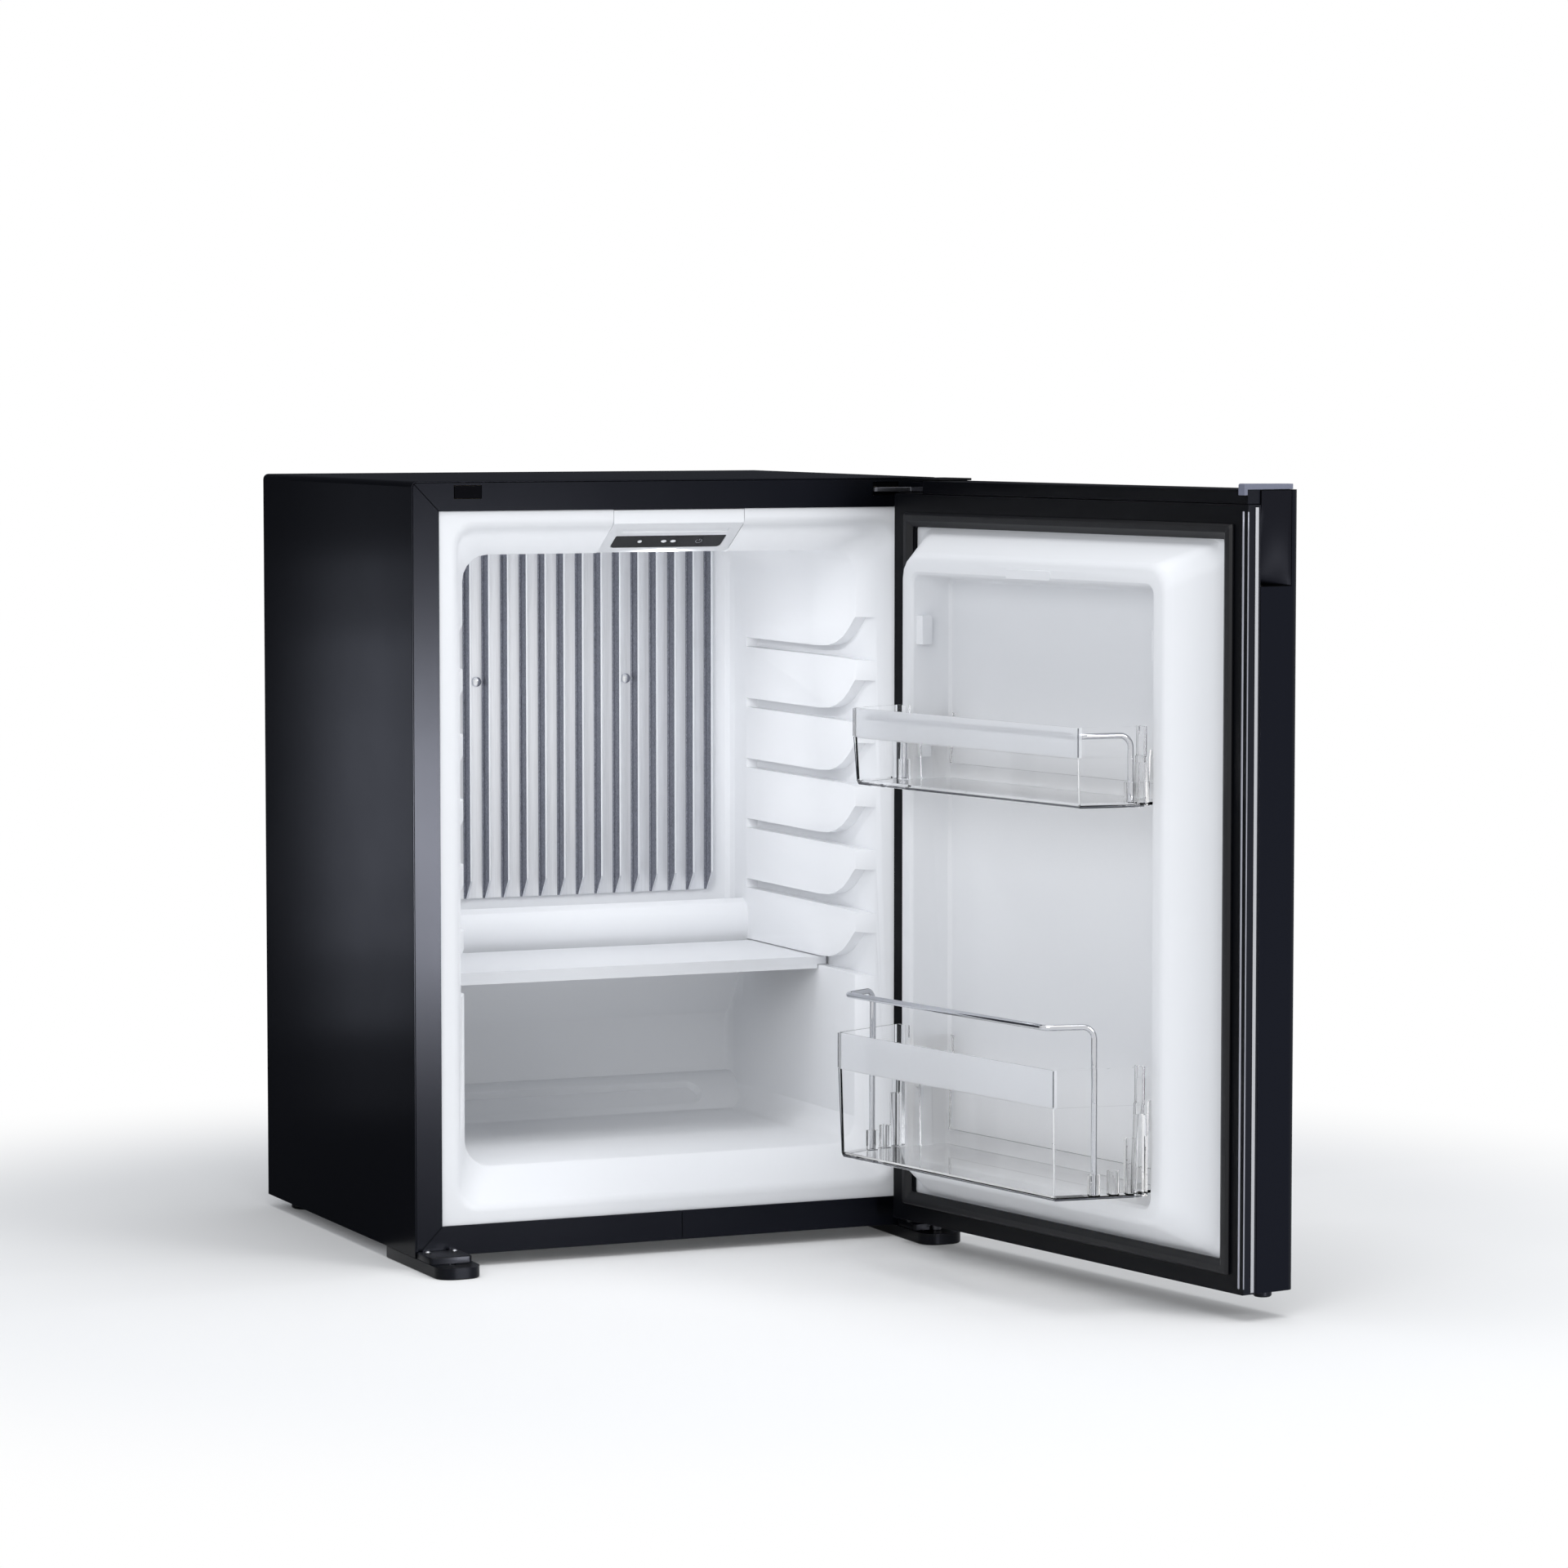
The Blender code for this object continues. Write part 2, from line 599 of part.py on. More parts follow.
# Base sheet and back panel with its service plug
base = box("base_plate", in_x0, in_x1, 2 * GAP + FRAME_DEEP, BODY_D - 3 * MM, GAP, 1.5 * MM, GALV)
PLUG_X0, PLUG_Z0 = 80 * MM, 200 * MM
PLUG_X1, PLUG_Z1 = BODY_W - PLUG_X0, EVAP_HIGH - 5.5 * MM
BACK_IN, BACK_OUT = BODY_D - 2.8 * MM, BODY_D - 1.6 * MM
back = prism("back_panel", inside_line(0, 1.8 * MM, in_z1), "y", BACK_IN, BACK_OUT, GALV)
cut(back, prism("window", rect(PLUG_X0, PLUG_X1, PLUG_Z0, PLUG_Z1, 8 * MM), "y", 0, 1, GALV))
plug_line = rect(PLUG_X0 + GAP, PLUG_X1 - GAP, PLUG_Z0 + GAP, PLUG_Z1 - GAP, 8 * MM - GAP)
slim_line = rect(PLUG_X0 + 4 * MM, PLUG_X1 - 4 * MM, PLUG_Z0 + 4 * MM, PLUG_Z1 - 4 * MM, 6 * MM)
PLUG_OUT = BODY_D + 1.6 * MM
service = loft(
    "service_plug",
    [
        [place(p, "y", BODY_D - 2.8 * MM) for p in plug_line],
        [place(p, "y", PLUG_OUT - 1.2 * MM) for p in plug_line],
        [place(p, "y", PLUG_OUT) for p in slim_line],
    ],
    GALV,
)

# Feet: low slabs with a raised block in front of the cabinet
FOOT_W = 33 * MM
BLOCK_TOP = 4.4 * MM
BLOCK_FRONT = -28.0 * MM
SCREW_R = 2.2 * MM
foot_marks = [(6.5 * MM, -7.4 * MM), (26.2 * MM, -7.4 * MM)]


def front_foot(name, mirror):
    def flip(points):
        return [(BODY_W - a, b) for a, b in points] if mirror else points

    slab = fillet(
        [(GAP, 62 * MM), (GAP, -49 * MM), (FOOT_W, -49 * MM), (FOOT_W, 62 * MM)],
        [2 * MM, 12 * MM, 12 * MM, 2 * MM], 6,
    )
    low = inset(slab, 0.8 * MM)
    rings = [[place(p, "z", FLOOR_Z) for p in flip(low)]]
    rings += [[place(p, "z", h) for p in flip(slab)] for h in (FLOOR_Z + 0.8 * MM, -GAP)]
    foot = loft(name, rings, BLACK_PLASTIC)
    block = fillet(
        [(0.7 * MM, -0.7 * MM), (0.7 * MM, BLOCK_FRONT), (32 * MM, BLOCK_FRONT), (32 * MM, -0.7 * MM)],
        [0.5 * MM, 2.5 * MM, 2.5 * MM, 0.5 * MM], 3,
    )
    top = inset(block, 0.6 * MM)
    block_rings = [[place(p, "z", h) for p in flip(block)] for h in (-2 * MM, BLOCK_TOP - 0.6 * MM)]
    block_rings.append([place(p, "z", BLOCK_TOP) for p in flip(top)])
    join(foot, loft("block", block_rings, BLACK_PLASTIC))
    for a, b in foot_marks:
        (spot,) = flip([(a, b)])
        cut(foot, rod("hole", spot[0], spot[1], -5 * MM, "z", 1.5 * MM + GAP, 20 * MM, BLACK_PLASTIC, 12))
    return foot


def screw(name, x, y, z, axis, head_r, mat, shank=4 * MM, way=-1):
    """A pan head on a plain shank; the shank runs the given way along the axis."""
    head, r = 1.2 * MM, 1.5 * MM
    profile = [(0, -way * head), (head_r * 0.6, -way * head), (head_r, -way * head * 0.3)]
    profile += [(head_r, 0), (r, 0), (r, way * shank), (0, way * shank)]
    return turned(name, profile, x, y, z, axis, mat, 14)


foot_l = front_foot("foot_front_left", False)
foot_r = front_foot("foot_front_right", True)
LOW_PIN_R, SHOULDER_R, PIN_FOOT = 2.6 * MM, 3.3 * MM, -5 * MM
for foot, x in ((foot_l, BODY_W - PIN_X), (foot_r, PIN_X)):
    cut(foot, rod("bore", x, PIN_Y, PIN_FOOT - GAP, "z", LOW_PIN_R + GAP, 20 * MM, BLACK_PLASTIC))
for k, (a, b) in enumerate(foot_marks):
    screw(f"foot_screw_left_{k + 1}", a, b, BLOCK_TOP + GAP, "z", SCREW_R, STEEL, 6 * MM)
    screw(f"foot_screw_right_{k + 1}", BODY_W - a, b, BLOCK_TOP + GAP, "z", SCREW_R, STEEL, 6 * MM)
for side, x in (("left", 24 * MM), ("right", BODY_W - 24 * MM)):
    pad = [(0, FLOOR_Z), (12 * MM, FLOOR_Z), (13 * MM, FLOOR_Z + MM), (11 * MM, -GAP), (0, -GAP)]
    turned(f"foot_rear_{side}", pad, x, 300 * MM, 0, "z", BLACK_PLASTIC, 20)

# Hinges
lower_pin = turned(
    "hinge_pin_lower",
    [
        (0, PIN_FOOT), (LOW_PIN_R, PIN_FOOT), (LOW_PIN_R, 0), (SHOULDER_R, 0),
        (SHOULDER_R, BLOCK_TOP), (LOW_PIN_R, BLOCK_TOP), (LOW_PIN_R, 21 * MM),
        (LOW_PIN_R - 0.6 * MM, 21.6 * MM), (0, 21.6 * MM),
    ],
    PIN_X, PIN_Y, 0, "z", STEEL,
)
LOBE = 7.5 * MM
arm_x0, arm_x1 = BODY_W - SLOT_X1 + 0.2 * MM, BODY_W - SLOT_X0 - 0.4 * MM
neck_x0, neck_x1 = PIN_X - LOBE, PIN_X + LOBE - 1.5 * MM
arm = fillet(
    [
        (arm_x0, 39 * MM), (arm_x0, -2.6 * MM), (neck_x0, -2.6 * MM), (neck_x0, PIN_Y - LOBE),
        (neck_x1, PIN_Y - LOBE), (neck_x1, -0.6 * MM), (arm_x1, -0.6 * MM), (arm_x1, 39 * MM),
    ],
    [2 * MM, 2.4 * MM, 1 * MM, LOBE - MM, LOBE - MM, 6 * MM, 0.4 * MM, 2 * MM], 5,
)
plate = prism("hinge_plate_upper", arm, "z", PLATE_LOW, PLATE_LOW + PLATE_T, STEEL)
cut(plate, rod("bore", PIN_X, PIN_Y, PLATE_LOW - MM, "z", PIN_R + GAP, 9 * MM, STEEL))
upper_pin = turned(
    "hinge_pin_upper",
    [
        (0, -16 * MM), (PIN_R - 0.6 * MM, -16 * MM), (PIN_R, -15.4 * MM), (PIN_R, PLATE_T + GAP),
        (5.2 * MM, PLATE_T + GAP), (5.2 * MM, PLATE_T + 2.2 * MM), (0, PLATE_T + 2.2 * MM),
    ],
    PIN_X, PIN_Y, PLATE_LOW, "z", STEEL,
)

# Evaporator: one extruded comb, its front lower corners cut away
comb_mid = BODY_W / 2 + COMB_OFFSET
blade_x0 = comb_mid - BLADE_PITCH * (BLADES - 1) / 2
plate_x0, plate_x1 = comb_mid - EVAP_PLATE_W / 2, comb_mid + EVAP_PLATE_W / 2
plate_y1 = BACK_Y - 0.4 * MM
plate_y0 = plate_y1 - EVAP_PLATE_T
tip = plate_y0 - BLADE_DEEP
comb = [(plate_x0, plate_y1), (plate_x0, tip), (plate_x0 + BLADE_T, tip), (plate_x0 + BLADE_T, plate_y0)]
for k in range(1, BLADES - 1):
    a = blade_x0 + k * BLADE_PITCH - BLADE_T / 2
    b = a + BLADE_T
    comb += [(a - 0.3 * MM, plate_y0), (a, tip), (b, tip), (b + 0.3 * MM, plate_y0)]
comb += [(plate_x1 - BLADE_T, plate_y0), (plate_x1 - BLADE_T, tip), (plate_x1, tip), (plate_x1, plate_y1)]
evap = prism("evaporator_blades", comb, "z", EVAP_LOW, EVAP_HIGH, ALU)
EVAP_CUT_DEEP, EVAP_CUT_H = BLADE_DEEP - 1.4 * MM, 14 * MM
cut_line = [(tip, EVAP_LOW + EVAP_CUT_H), (tip + EVAP_CUT_DEEP, EVAP_LOW)]
run = Vector(cut_line[1]) - Vector(cut_line[0])
wedge = [Vector(cut_line[0]) - run * 0.4, Vector(cut_line[1]) + run * 0.1]
wedge = [tuple(wedge[0]), tuple(wedge[1]), (wedge[0][0], wedge[1][1])]
cut(evap, prism("wedge", wedge, "x", plate_x0 - 5 * MM, plate_x1 + 5 * MM, ALU))
EVAP_SCREW_Z = EVAP_HIGH - 98.5 * MM
SHANK_R, HEAD_R, HEAD_H = 1.8 * MM, 4.0 * MM, 2.4 * MM
head_y = plate_y0 - GAP
bolt = [
    (0, -HEAD_H), (HEAD_R * 0.55, -HEAD_H * 0.94), (HEAD_R * 0.88, -HEAD_H * 0.62), (HEAD_R, 0),
    (SHANK_R, 0), (SHANK_R, plate_y1 - head_y), (0, plate_y1 - head_y),
]
for k, gap_no in enumerate((4, 12)):
    x = blade_x0 + (gap_no + 0.5) * BLADE_PITCH + MM
    cut(evap, rod("hole", x, plate_y0 - MM, EVAP_SCREW_Z, "y", SHANK_R + GAP, 5 * MM, ALU, 12))
    turned(f"evaporator_screw_{k + 1}", bolt, x, head_y, EVAP_SCREW_Z, "y", STEEL, 16)

# Shelf: a plate that runs in the grooves, with a deeper front lip and ribs underneath
shelf_top = GROOVE_TOP - (SHELF_GROOVE - 1) * GROOVE_PITCH - GROOVE_H + GAP + SHELF_T
shelf_side = WALL_X - GROOVE_DEEP + 1.6 * MM
shelf_low = shelf_top - SHELF_T
shelf = prism(
    "shelf",
    fillet(
        [
            (shelf_side, SHELF_FRONT), (BODY_W - shelf_side, SHELF_FRONT),
            (BODY_W - shelf_side, SHELF_BACK), (shelf_side, SHELF_BACK),
        ],
        [2.5 * MM, 2.5 * MM, 4 * MM, 4 * MM], 3,
    ),
    "z", shelf_low, shelf_top, WHITE,
)
lip_x = WALL_X + 1.0 * MM
tray = box(
    "tray", lip_x + 3 * MM, BODY_W - lip_x - 3 * MM, SHELF_FRONT + 4 * MM, SHELF_BACK - 4 * MM,
    shelf_low - MM, shelf_top - 2.4 * MM, WHITE,
)
cut(shelf, tray)
lip = box(
    "lip", lip_x, BODY_W - lip_x, SHELF_FRONT + 0.01 * MM, SHELF_FRONT + 3 * MM,
    shelf_top - SHELF_LIP, shelf_top - MM, WHITE,
)
ribs = [
    box(
        "rib", x - 0.8 * MM, x + 0.8 * MM, SHELF_FRONT + 2 * MM, SHELF_BACK - 2 * MM,
        shelf_low, shelf_top - MM, WHITE,
    )
    for x in [lip_x + (BODY_W - 2 * lip_x) * k / 6 for k in range(1, 6)]
]
join(shelf, lip, group("ribs", ribs))

# Cooling unit behind the cabinet: boiler, condenser, absorber and their pipes
UNIT_Y = BODY_D + 36 * MM
COND_Z = BODY_H - 52 * MM
pump_x = BODY_W - 82 * MM
BOILER_HALF = 28 * MM
boiler_x0, boiler_x1 = pump_x - BOILER_HALF, pump_x + BOILER_HALF
boiler_z0, boiler_z1 = 96 * MM, COND_Z - 116 * MM
boiler = prism(
    "boiler_casing",
    rect(boiler_x0, boiler_x1, UNIT_Y - 30 * MM, UNIT_Y + 30 * MM, 9 * MM),
    "z", boiler_z0, boiler_z1, GALV,
)
PIPE_R = 7 * MM
cut(
    boiler,
    rod("bore", pump_x, UNIT_Y, boiler_z1 - 22 * MM, "z", PIPE_R + GAP, 60 * MM, GALV),
    rod("bore", pump_x, UNIT_Y, boiler_z0 - 10 * MM, "z", 5 * MM + GAP, 30 * MM, GALV),
)
END_X = 64 * MM
riser = pipe(
    "condenser_pipe",
    [
        (pump_x, UNIT_Y, boiler_z1 - 20 * MM), (pump_x, UNIT_Y, COND_Z + 6 * MM),
        (END_X, UNIT_Y, COND_Z - 6 * MM), (END_X, UNIT_Y, COND_Z - 58 * MM),
    ],
    PIPE_R, PIPE, 22 * MM, 5, 3,
)
tilt = math.atan2(12 * MM, pump_x - END_X)
FIN_COUNT, FIN_HALF = 12, 26 * MM
FINS_X0, FINS_X1 = END_X + 40 * MM, pump_x - 40 * MM


def along(x):
    """The height of the condenser pipe's axis at x."""
    return COND_Z - 6 * MM + (x - END_X) * math.tan(tilt)


collar_rings = []
for x in (FINS_X0, FINS_X1):
    collar_rings.append([(x, UNIT_Y + a, along(x) + b) for a, b in circle(0, 0, PIPE_R + 1.8 * MM, 12)])
fins = loft("condenser_fins", collar_rings, ALU)
leaves = []
for k in range(FIN_COUNT):
    x = FINS_X0 + 2 * MM + (FINS_X1 - FINS_X0 - 4 * MM) * k / (FIN_COUNT - 1)
    leaf = rect(UNIT_Y - FIN_HALF, UNIT_Y + FIN_HALF, COND_Z - FIN_HALF, COND_Z + FIN_HALF)
    leaves.append(prism("leaf", leaf, "x", x - 0.6 * MM, x + 0.6 * MM, ALU))
join(fins, group("leaves", leaves))
bore_rings = []
for x in (FINS_X0 - 9 * MM, FINS_X1 + 9 * MM):
    bore_rings.append([(x, UNIT_Y + a, along(x) + b) for a, b in circle(0, 0, PIPE_R + GAP, 12)])
cut(fins, loft("bore", bore_rings, ALU))

VESSEL_Z = 66 * MM
vessel_r = 25 * MM
VESSEL_X, VESSEL_L = 60 * MM, BODY_W - 202 * MM
dome = [(0, 0), (vessel_r * 0.6, 3 * MM), (vessel_r * 0.9, 9 * MM), (vessel_r, 16 * MM)]
dome += [(r, VESSEL_L - h) for r, h in dome[::-1]]
vessel = turned("absorber_vessel", dome, VESSEL_X, UNIT_Y, VESSEL_Z, "x", PIPE, 20)
COIL_Y = UNIT_Y
coil_x0, coil_x1 = VESSEL_X + 24 * MM, VESSEL_X + VESSEL_L - 10 * MM
COIL_PITCH, COIL_END = 44 * MM, COND_Z - 78 * MM
coil_z = [VESSEL_Z + 72 * MM + COIL_PITCH * k for k in range(5)]
coil_path = [(coil_x0, COIL_Y, VESSEL_Z + vessel_r + GAP), (coil_x0, COIL_Y, coil_z[0])]
for k, z in enumerate(coil_z):
    coil_path.append((coil_x1 if k % 2 == 0 else coil_x0, COIL_Y, z + 8 * MM))
    if k + 1 < len(coil_z):
        coil_path.append((coil_x1 if k % 2 == 0 else coil_x0, COIL_Y, coil_z[k + 1]))
coil_path.append((coil_x1, COIL_Y, COIL_END))
coil_path.append((coil_x1, PLUG_OUT + GAP, COIL_END))
coil = pipe("absorber_coil", coil_path, PIPE_R, PIPE, 15 * MM, 3, 2)
link = pipe(
    "solution_pipe",
    [
        (VESSEL_X + VESSEL_L + GAP, UNIT_Y, VESSEL_Z), (pump_x, UNIT_Y, VESSEL_Z),
        (pump_x, UNIT_Y, boiler_z0 + 18 * MM),
    ],
    5 * MM, PIPE, 14 * MM, 5, 3,
)
supply = pipe(
    "evaporator_pipe",
    [
        (END_X, UNIT_Y, COND_Z - 58 * MM - GAP), (END_X, UNIT_Y, COND_Z - 92 * MM),
        (END_X + 48 * MM, UNIT_Y, COND_Z - 92 * MM), (END_X + 48 * MM, PLUG_OUT + GAP, COND_Z - 92 * MM),
    ],
    PIPE_R, PIPE, 12 * MM, 4, 2,
)

# Two straps on the back panel: one lies on the absorber vessel, one on the condenser fins
STRAP_T, STRAP_H = 1.6 * MM, 22 * MM
strap_y = BACK_OUT + GAP
straps = {
    "unit_strap_lower": (VESSEL_Z + vessel_r + GAP, coil_x0 + 20 * MM, coil_x1 - 10 * MM, UNIT_Y),
    "unit_strap_upper": (COND_Z + FIN_HALF + GAP, FINS_X0 + 6 * MM, FINS_X1 - 4 * MM, UNIT_Y),
}
for name, (z, a, b, reach) in straps.items():
    strap_line = [
        (strap_y, z), (reach, z), (reach, z + STRAP_T), (strap_y + STRAP_T, z + STRAP_T),
        (strap_y + STRAP_T, z + STRAP_H), (strap_y, z + STRAP_H),
    ]
    prism(name, strap_line, "x", a, b, GALV)

# Electronics box with the mains inlet
box_x0, box_x1, box_z0, box_z1 = BODY_W - 130 * MM, BODY_W - 36 * MM, 4 * MM, 56 * MM
box_y0, box_y1 = BACK_OUT + GAP, BODY_D + 46 * MM
ebox = prism("electronics_box", rect(box_x0, box_x1, box_z0, box_z1, 4 * MM), "y", box_y0, box_y1, BLACK_PLASTIC)
inlet_x, inlet_z = box_x1 - 24 * MM, (box_z0 + box_z1) / 2
inlet_line = rect(inlet_x - 14 * MM, inlet_x + 14 * MM, inlet_z - 10 * MM, inlet_z + 10 * MM, 2.5 * MM)
cut(ebox, prism("seat", inset(inlet_line, -GAP), "y", box_y1 - 20 * MM, box_y1 + MM, BLACK_PLASTIC))
flange = rect(inlet_x - 17 * MM, inlet_x + 17 * MM, inlet_z - 13 * MM, inlet_z + 13 * MM, 3 * MM)
inlet = prism("mains_inlet", inlet_line, "y", box_y1 - 18 * MM, box_y1 + MM, BLACK_PLASTIC)
join(inlet, prism("flange", flange, "y", box_y1 + GAP, box_y1 + 2.4 * MM, BLACK_PLASTIC))
mouth = rect(inlet_x - 11 * MM, inlet_x + 11 * MM, inlet_z - 7 * MM, inlet_z + 7 * MM, 2 * MM)
cut(inlet, prism("mouth", mouth, "y", box_y1 - 14 * MM, box_y1 + 9 * MM, BLACK_PLASTIC))
blades = [
    box("blade", inlet_x + a - 0.9 * MM, inlet_x + a + 0.9 * MM, box_y1 - 15 * MM, box_y1 - 2 * MM,
        inlet_z + b - 2.2 * MM, inlet_z + b + 2.2 * MM, STEEL)
    for a, b in ((-6.5 * MM, -1.5 * MM), (0, 1.5 * MM), (6.5 * MM, -1.5 * MM))
]
join(inlet, group("blades", blades))


# Door pieces: s and off become the pin's own frame
def at(s, off):
    return (PIN_S - s, off + PIN_OFF)


def door_prism(name, outline, z0, z1, mat):
    return prism(name, [at(*p) for p in outline], "z", z0, z1, mat)


def door_plate(name, outline, off0, off1, mat):
    """An outline in (s, z) given thickness between two planes of off."""
    rings = [[(*at(s, off), z) for s, z in outline] for off in (off0, off1)]
    return loft(name, rings, mat)


def door_ring(s0, s1, z0, z1, r, off):
    return [(*at(s, off), z) for s, z in rect(s0, s1, z0, z1, r, 4)]


SKIN_R = 6 * MM
NOTCH_OFF, NOTCH_S = -40.2 * MM, 33.5 * MM
NOTCH_LOW = PLATE_LOW - 0.6 * MM
SCOOP_LOW = DOOR_HIGH - 62.9 * MM
skin_line = fillet(
    [(0, SKIN_EDGE - DOOR_T), (0, -DOOR_T), (DOOR_W, -DOOR_T), (DOOR_W, SKIN_EDGE - DOOR_T)],
    [0, SKIN_R, SKIN_R, 0], 5,
)
skin_in = fillet(
    [
        (SKIN_T, SKIN_EDGE - DOOR_T + MM), (SKIN_T, -DOOR_T + SKIN_T),
        (DOOR_W - SKIN_T, -DOOR_T + SKIN_T), (DOOR_W - SKIN_T, SKIN_EDGE - DOOR_T + MM),
    ],
    [0, SKIN_R - SKIN_T, SKIN_R - SKIN_T, 0], 5,
)
skin = door_prism("door_skin", skin_line, DOOR_LOW, DOOR_HIGH, BLACK_PAINT)
cut(
    skin,
    door_prism("hollow", skin_in, DOOR_LOW - MM, DOOR_HIGH + MM, BLACK_PAINT),
    door_prism(
        "scoop_window",
        rect(DOOR_W - 3 * MM, DOOR_W + 3 * MM, -DOOR_T + 7 * MM, 0),
        SCOOP_LOW, DOOR_HIGH + MM, BLACK_PAINT,
    ),
    door_prism(
        "notch", rect(-2 * MM, SKIN_T + 3 * MM, NOTCH_OFF, 0), NOTCH_LOW, DOOR_HIGH + MM, BLACK_PAINT
    ),
)

# Handle scoop: its floor falls away from the top and the outer edge to the seam below
SCOOP_S0 = DOOR_W - 26 * MM
scoop_off0, scoop_off1 = -DOOR_T + 7 * MM + GAP, -DOOR_T + SKIN_EDGE - 0.2 * MM
grid_n = 8
handle_rings = []
for i in range(grid_n + 1):
    z = SCOOP_LOW + GAP + (DOOR_HIGH - SCOOP_LOW - 0.4 * MM - GAP) * i / grid_n
    fall = max(0.0, 1 - i / (grid_n - 1)) ** 1.6
    ring = [(*at(SCOOP_S0, scoop_off1), z), (*at(SCOOP_S0, scoop_off0), z)]
    for j in range(grid_n + 1):
        off = scoop_off0 + (scoop_off1 - scoop_off0) * j / grid_n
        deep = 13 * MM * fall * math.sin(math.pi / 2 * j / grid_n) ** 1.3
        ring.append((*at(DOOR_W - deep, off), z))
    handle_rings.append(ring)
handle = loft("door_handle_scoop", handle_rings, BLACK_PLASTIC)

# Inner frame: the dark border that the gasket lies on, grooved round its outer edge
frame_out = rect(0, DOOR_W, INNER_LOW, INNER_HIGH, 1.2 * MM, 3)
inner = door_plate("door_inner_frame", frame_out, 0, -10.4 * MM, BLACK_PLASTIC)
RING_IN = 24.2 * MM
ring_in = rect(RING_IN, DOOR_W - RING_IN, INNER_LOW + 21 * MM, INNER_HIGH - 23.1 * MM, 2 * MM, 3)
ring_pocket = rect(3 * MM, DOOR_W - 3 * MM, INNER_LOW + 3 * MM, INNER_HIGH - 3 * MM)
strip_off0, strip_off1 = -5.9 * MM, -8.7 * MM
strip_s = rect(DOOR_W - 1.0 * MM, DOOR_W + 2 * MM, INNER_LOW + 1.0 * MM, INNER_HIGH - 1.6 * MM)
groove_ring = door_plate("g", inset(frame_out, -3 * MM), -1.4 * MM, -3.8 * MM, BLACK_PLASTIC)
cut(groove_ring, door_plate("g", inset(frame_out, 1.4 * MM), 0, -5 * MM, BLACK_PLASTIC))
cut(
    inner,
    door_plate("opening", ring_in, 5 * MM, -20 * MM, BLACK_PLASTIC),
    door_plate("pocket", ring_pocket, -3 * MM, -20 * MM, BLACK_PLASTIC),
    groove_ring,
    door_plate("strip_seat", strip_s, strip_off0 + GAP, strip_off1 - GAP, BLACK_PLASTIC),
    rod("bore", 0, 0, INNER_HIGH - 9 * MM, "z", 7 * MM, 20 * MM, BLACK_PLASTIC),
)
strip_line_s = rect(DOOR_W - 0.7 * MM, DOOR_W + 0.3 * MM, INNER_LOW + 1.3 * MM, INNER_HIGH - 1.9 * MM)
strip = door_plate("door_bright_strip", strip_line_s, strip_off0, strip_off1, CHROME)

# Gasket: a hollow magnetic profile swept round the border
GASKET_LOW, GASKET_HIGH = INNER_LOW + 11.9 * MM, INNER_HIGH - 13.1 * MM
gasket_rings = []
for grow, off in (
    (0.0, 0.3 * MM), (0.0, 1.6 * MM), (1.4 * MM, 3.4 * MM), (5.4 * MM, 3.6 * MM),
    (7.4 * MM, 2.0 * MM), (GASKET_W, 1.0 * MM), (GASKET_W, 0.3 * MM),
):
    line = rect(
        GASKET_IN + grow, DOOR_W - GASKET_IN - grow, GASKET_LOW + grow, GASKET_HIGH - grow,
        1.5 * MM, 3,
    )
    gasket_rings.append([(*at(s, off), z) for s, z in line])


def hoop(name, rings, mat):
    """Rings joined in turn, the last back to the first: a closed band with no caps."""
    n = len(rings[0])
    verts = [p for ring in rings for p in ring]
    faces = []
    for k in range(len(rings)):
        m = (k + 1) % len(rings)
        for i in range(n):
            j = (i + 1) % n
            faces.append([k * n + i, k * n + j, m * n + j, m * n + i])
    return solid(name, verts, faces, mat)


gasket = hoop("door_gasket", gasket_rings, RUBBER)

# Door liner: flange, raised dyke and recess, front rings then back rings
FLANGE_OFF = -3.3 * MM
HALF = DOOR_W / 2
dyke_rows = [
    # half width, above the inner frame's lower edge, under its upper edge, radius, off
    (HALF - 15.5 * MM, 15.3 * MM, 17.9 * MM, 4 * MM, FLANGE_OFF),
    (HALF - 26.5 * MM, 21.9 * MM, 24.3 * MM, 14 * MM, FLANGE_OFF),
    (HALF - 29.5 * MM, 24.5 * MM, 26.7 * MM, 16 * MM, -1.0 * MM),
    (CREST_OUT + 3.5 * MM, 38.7 * MM, 38.9 * MM, 18 * MM, DYKE_H - 5 * MM),
    (CREST_OUT + 1.2 * MM, 41.3 * MM, 41.1 * MM, 17 * MM, DYKE_H - 1.6 * MM),
    (CREST_OUT - 2.4 * MM, 44.7 * MM, 44.5 * MM, 15 * MM, DYKE_H),
    (CREST_IN + 2.0 * MM, 51.1 * MM, 52.9 * MM, 8 * MM, DYKE_H),
    (CREST_IN, 53.1 * MM, 54.9 * MM, 6 * MM, DYKE_H - 2 * MM),
    (CREST_IN - 3.2 * MM, 56.3 * MM, 58.1 * MM, 5 * MM, 1.0 * MM),
    (CREST_IN - 5.4 * MM, 58.5 * MM, 60.3 * MM, 4 * MM, -1.3 * MM),
]


def dyke_rings(shift, drop):
    """The rows moved inside the liner by shift, and down by drop where they lie flat."""
    out = []
    for k, (half, low, high, r, off) in enumerate(dyke_rows):
        low, high = INNER_LOW + low, INNER_HIGH - high
        sign = -1 if k < 6 else 1
        side = sign * shift if 0 < k < 9 else 0.0
        half, low, high = half + side, low - side, high + side
        r = max(0.8 * MM, r + side)
        steep = k in (2, 3, 4, 7, 8)
        out.append(door_ring(DYKE_MID - half, DYKE_MID + half, low, high, r, off - drop * (0.5 if steep else 1)))
    return out


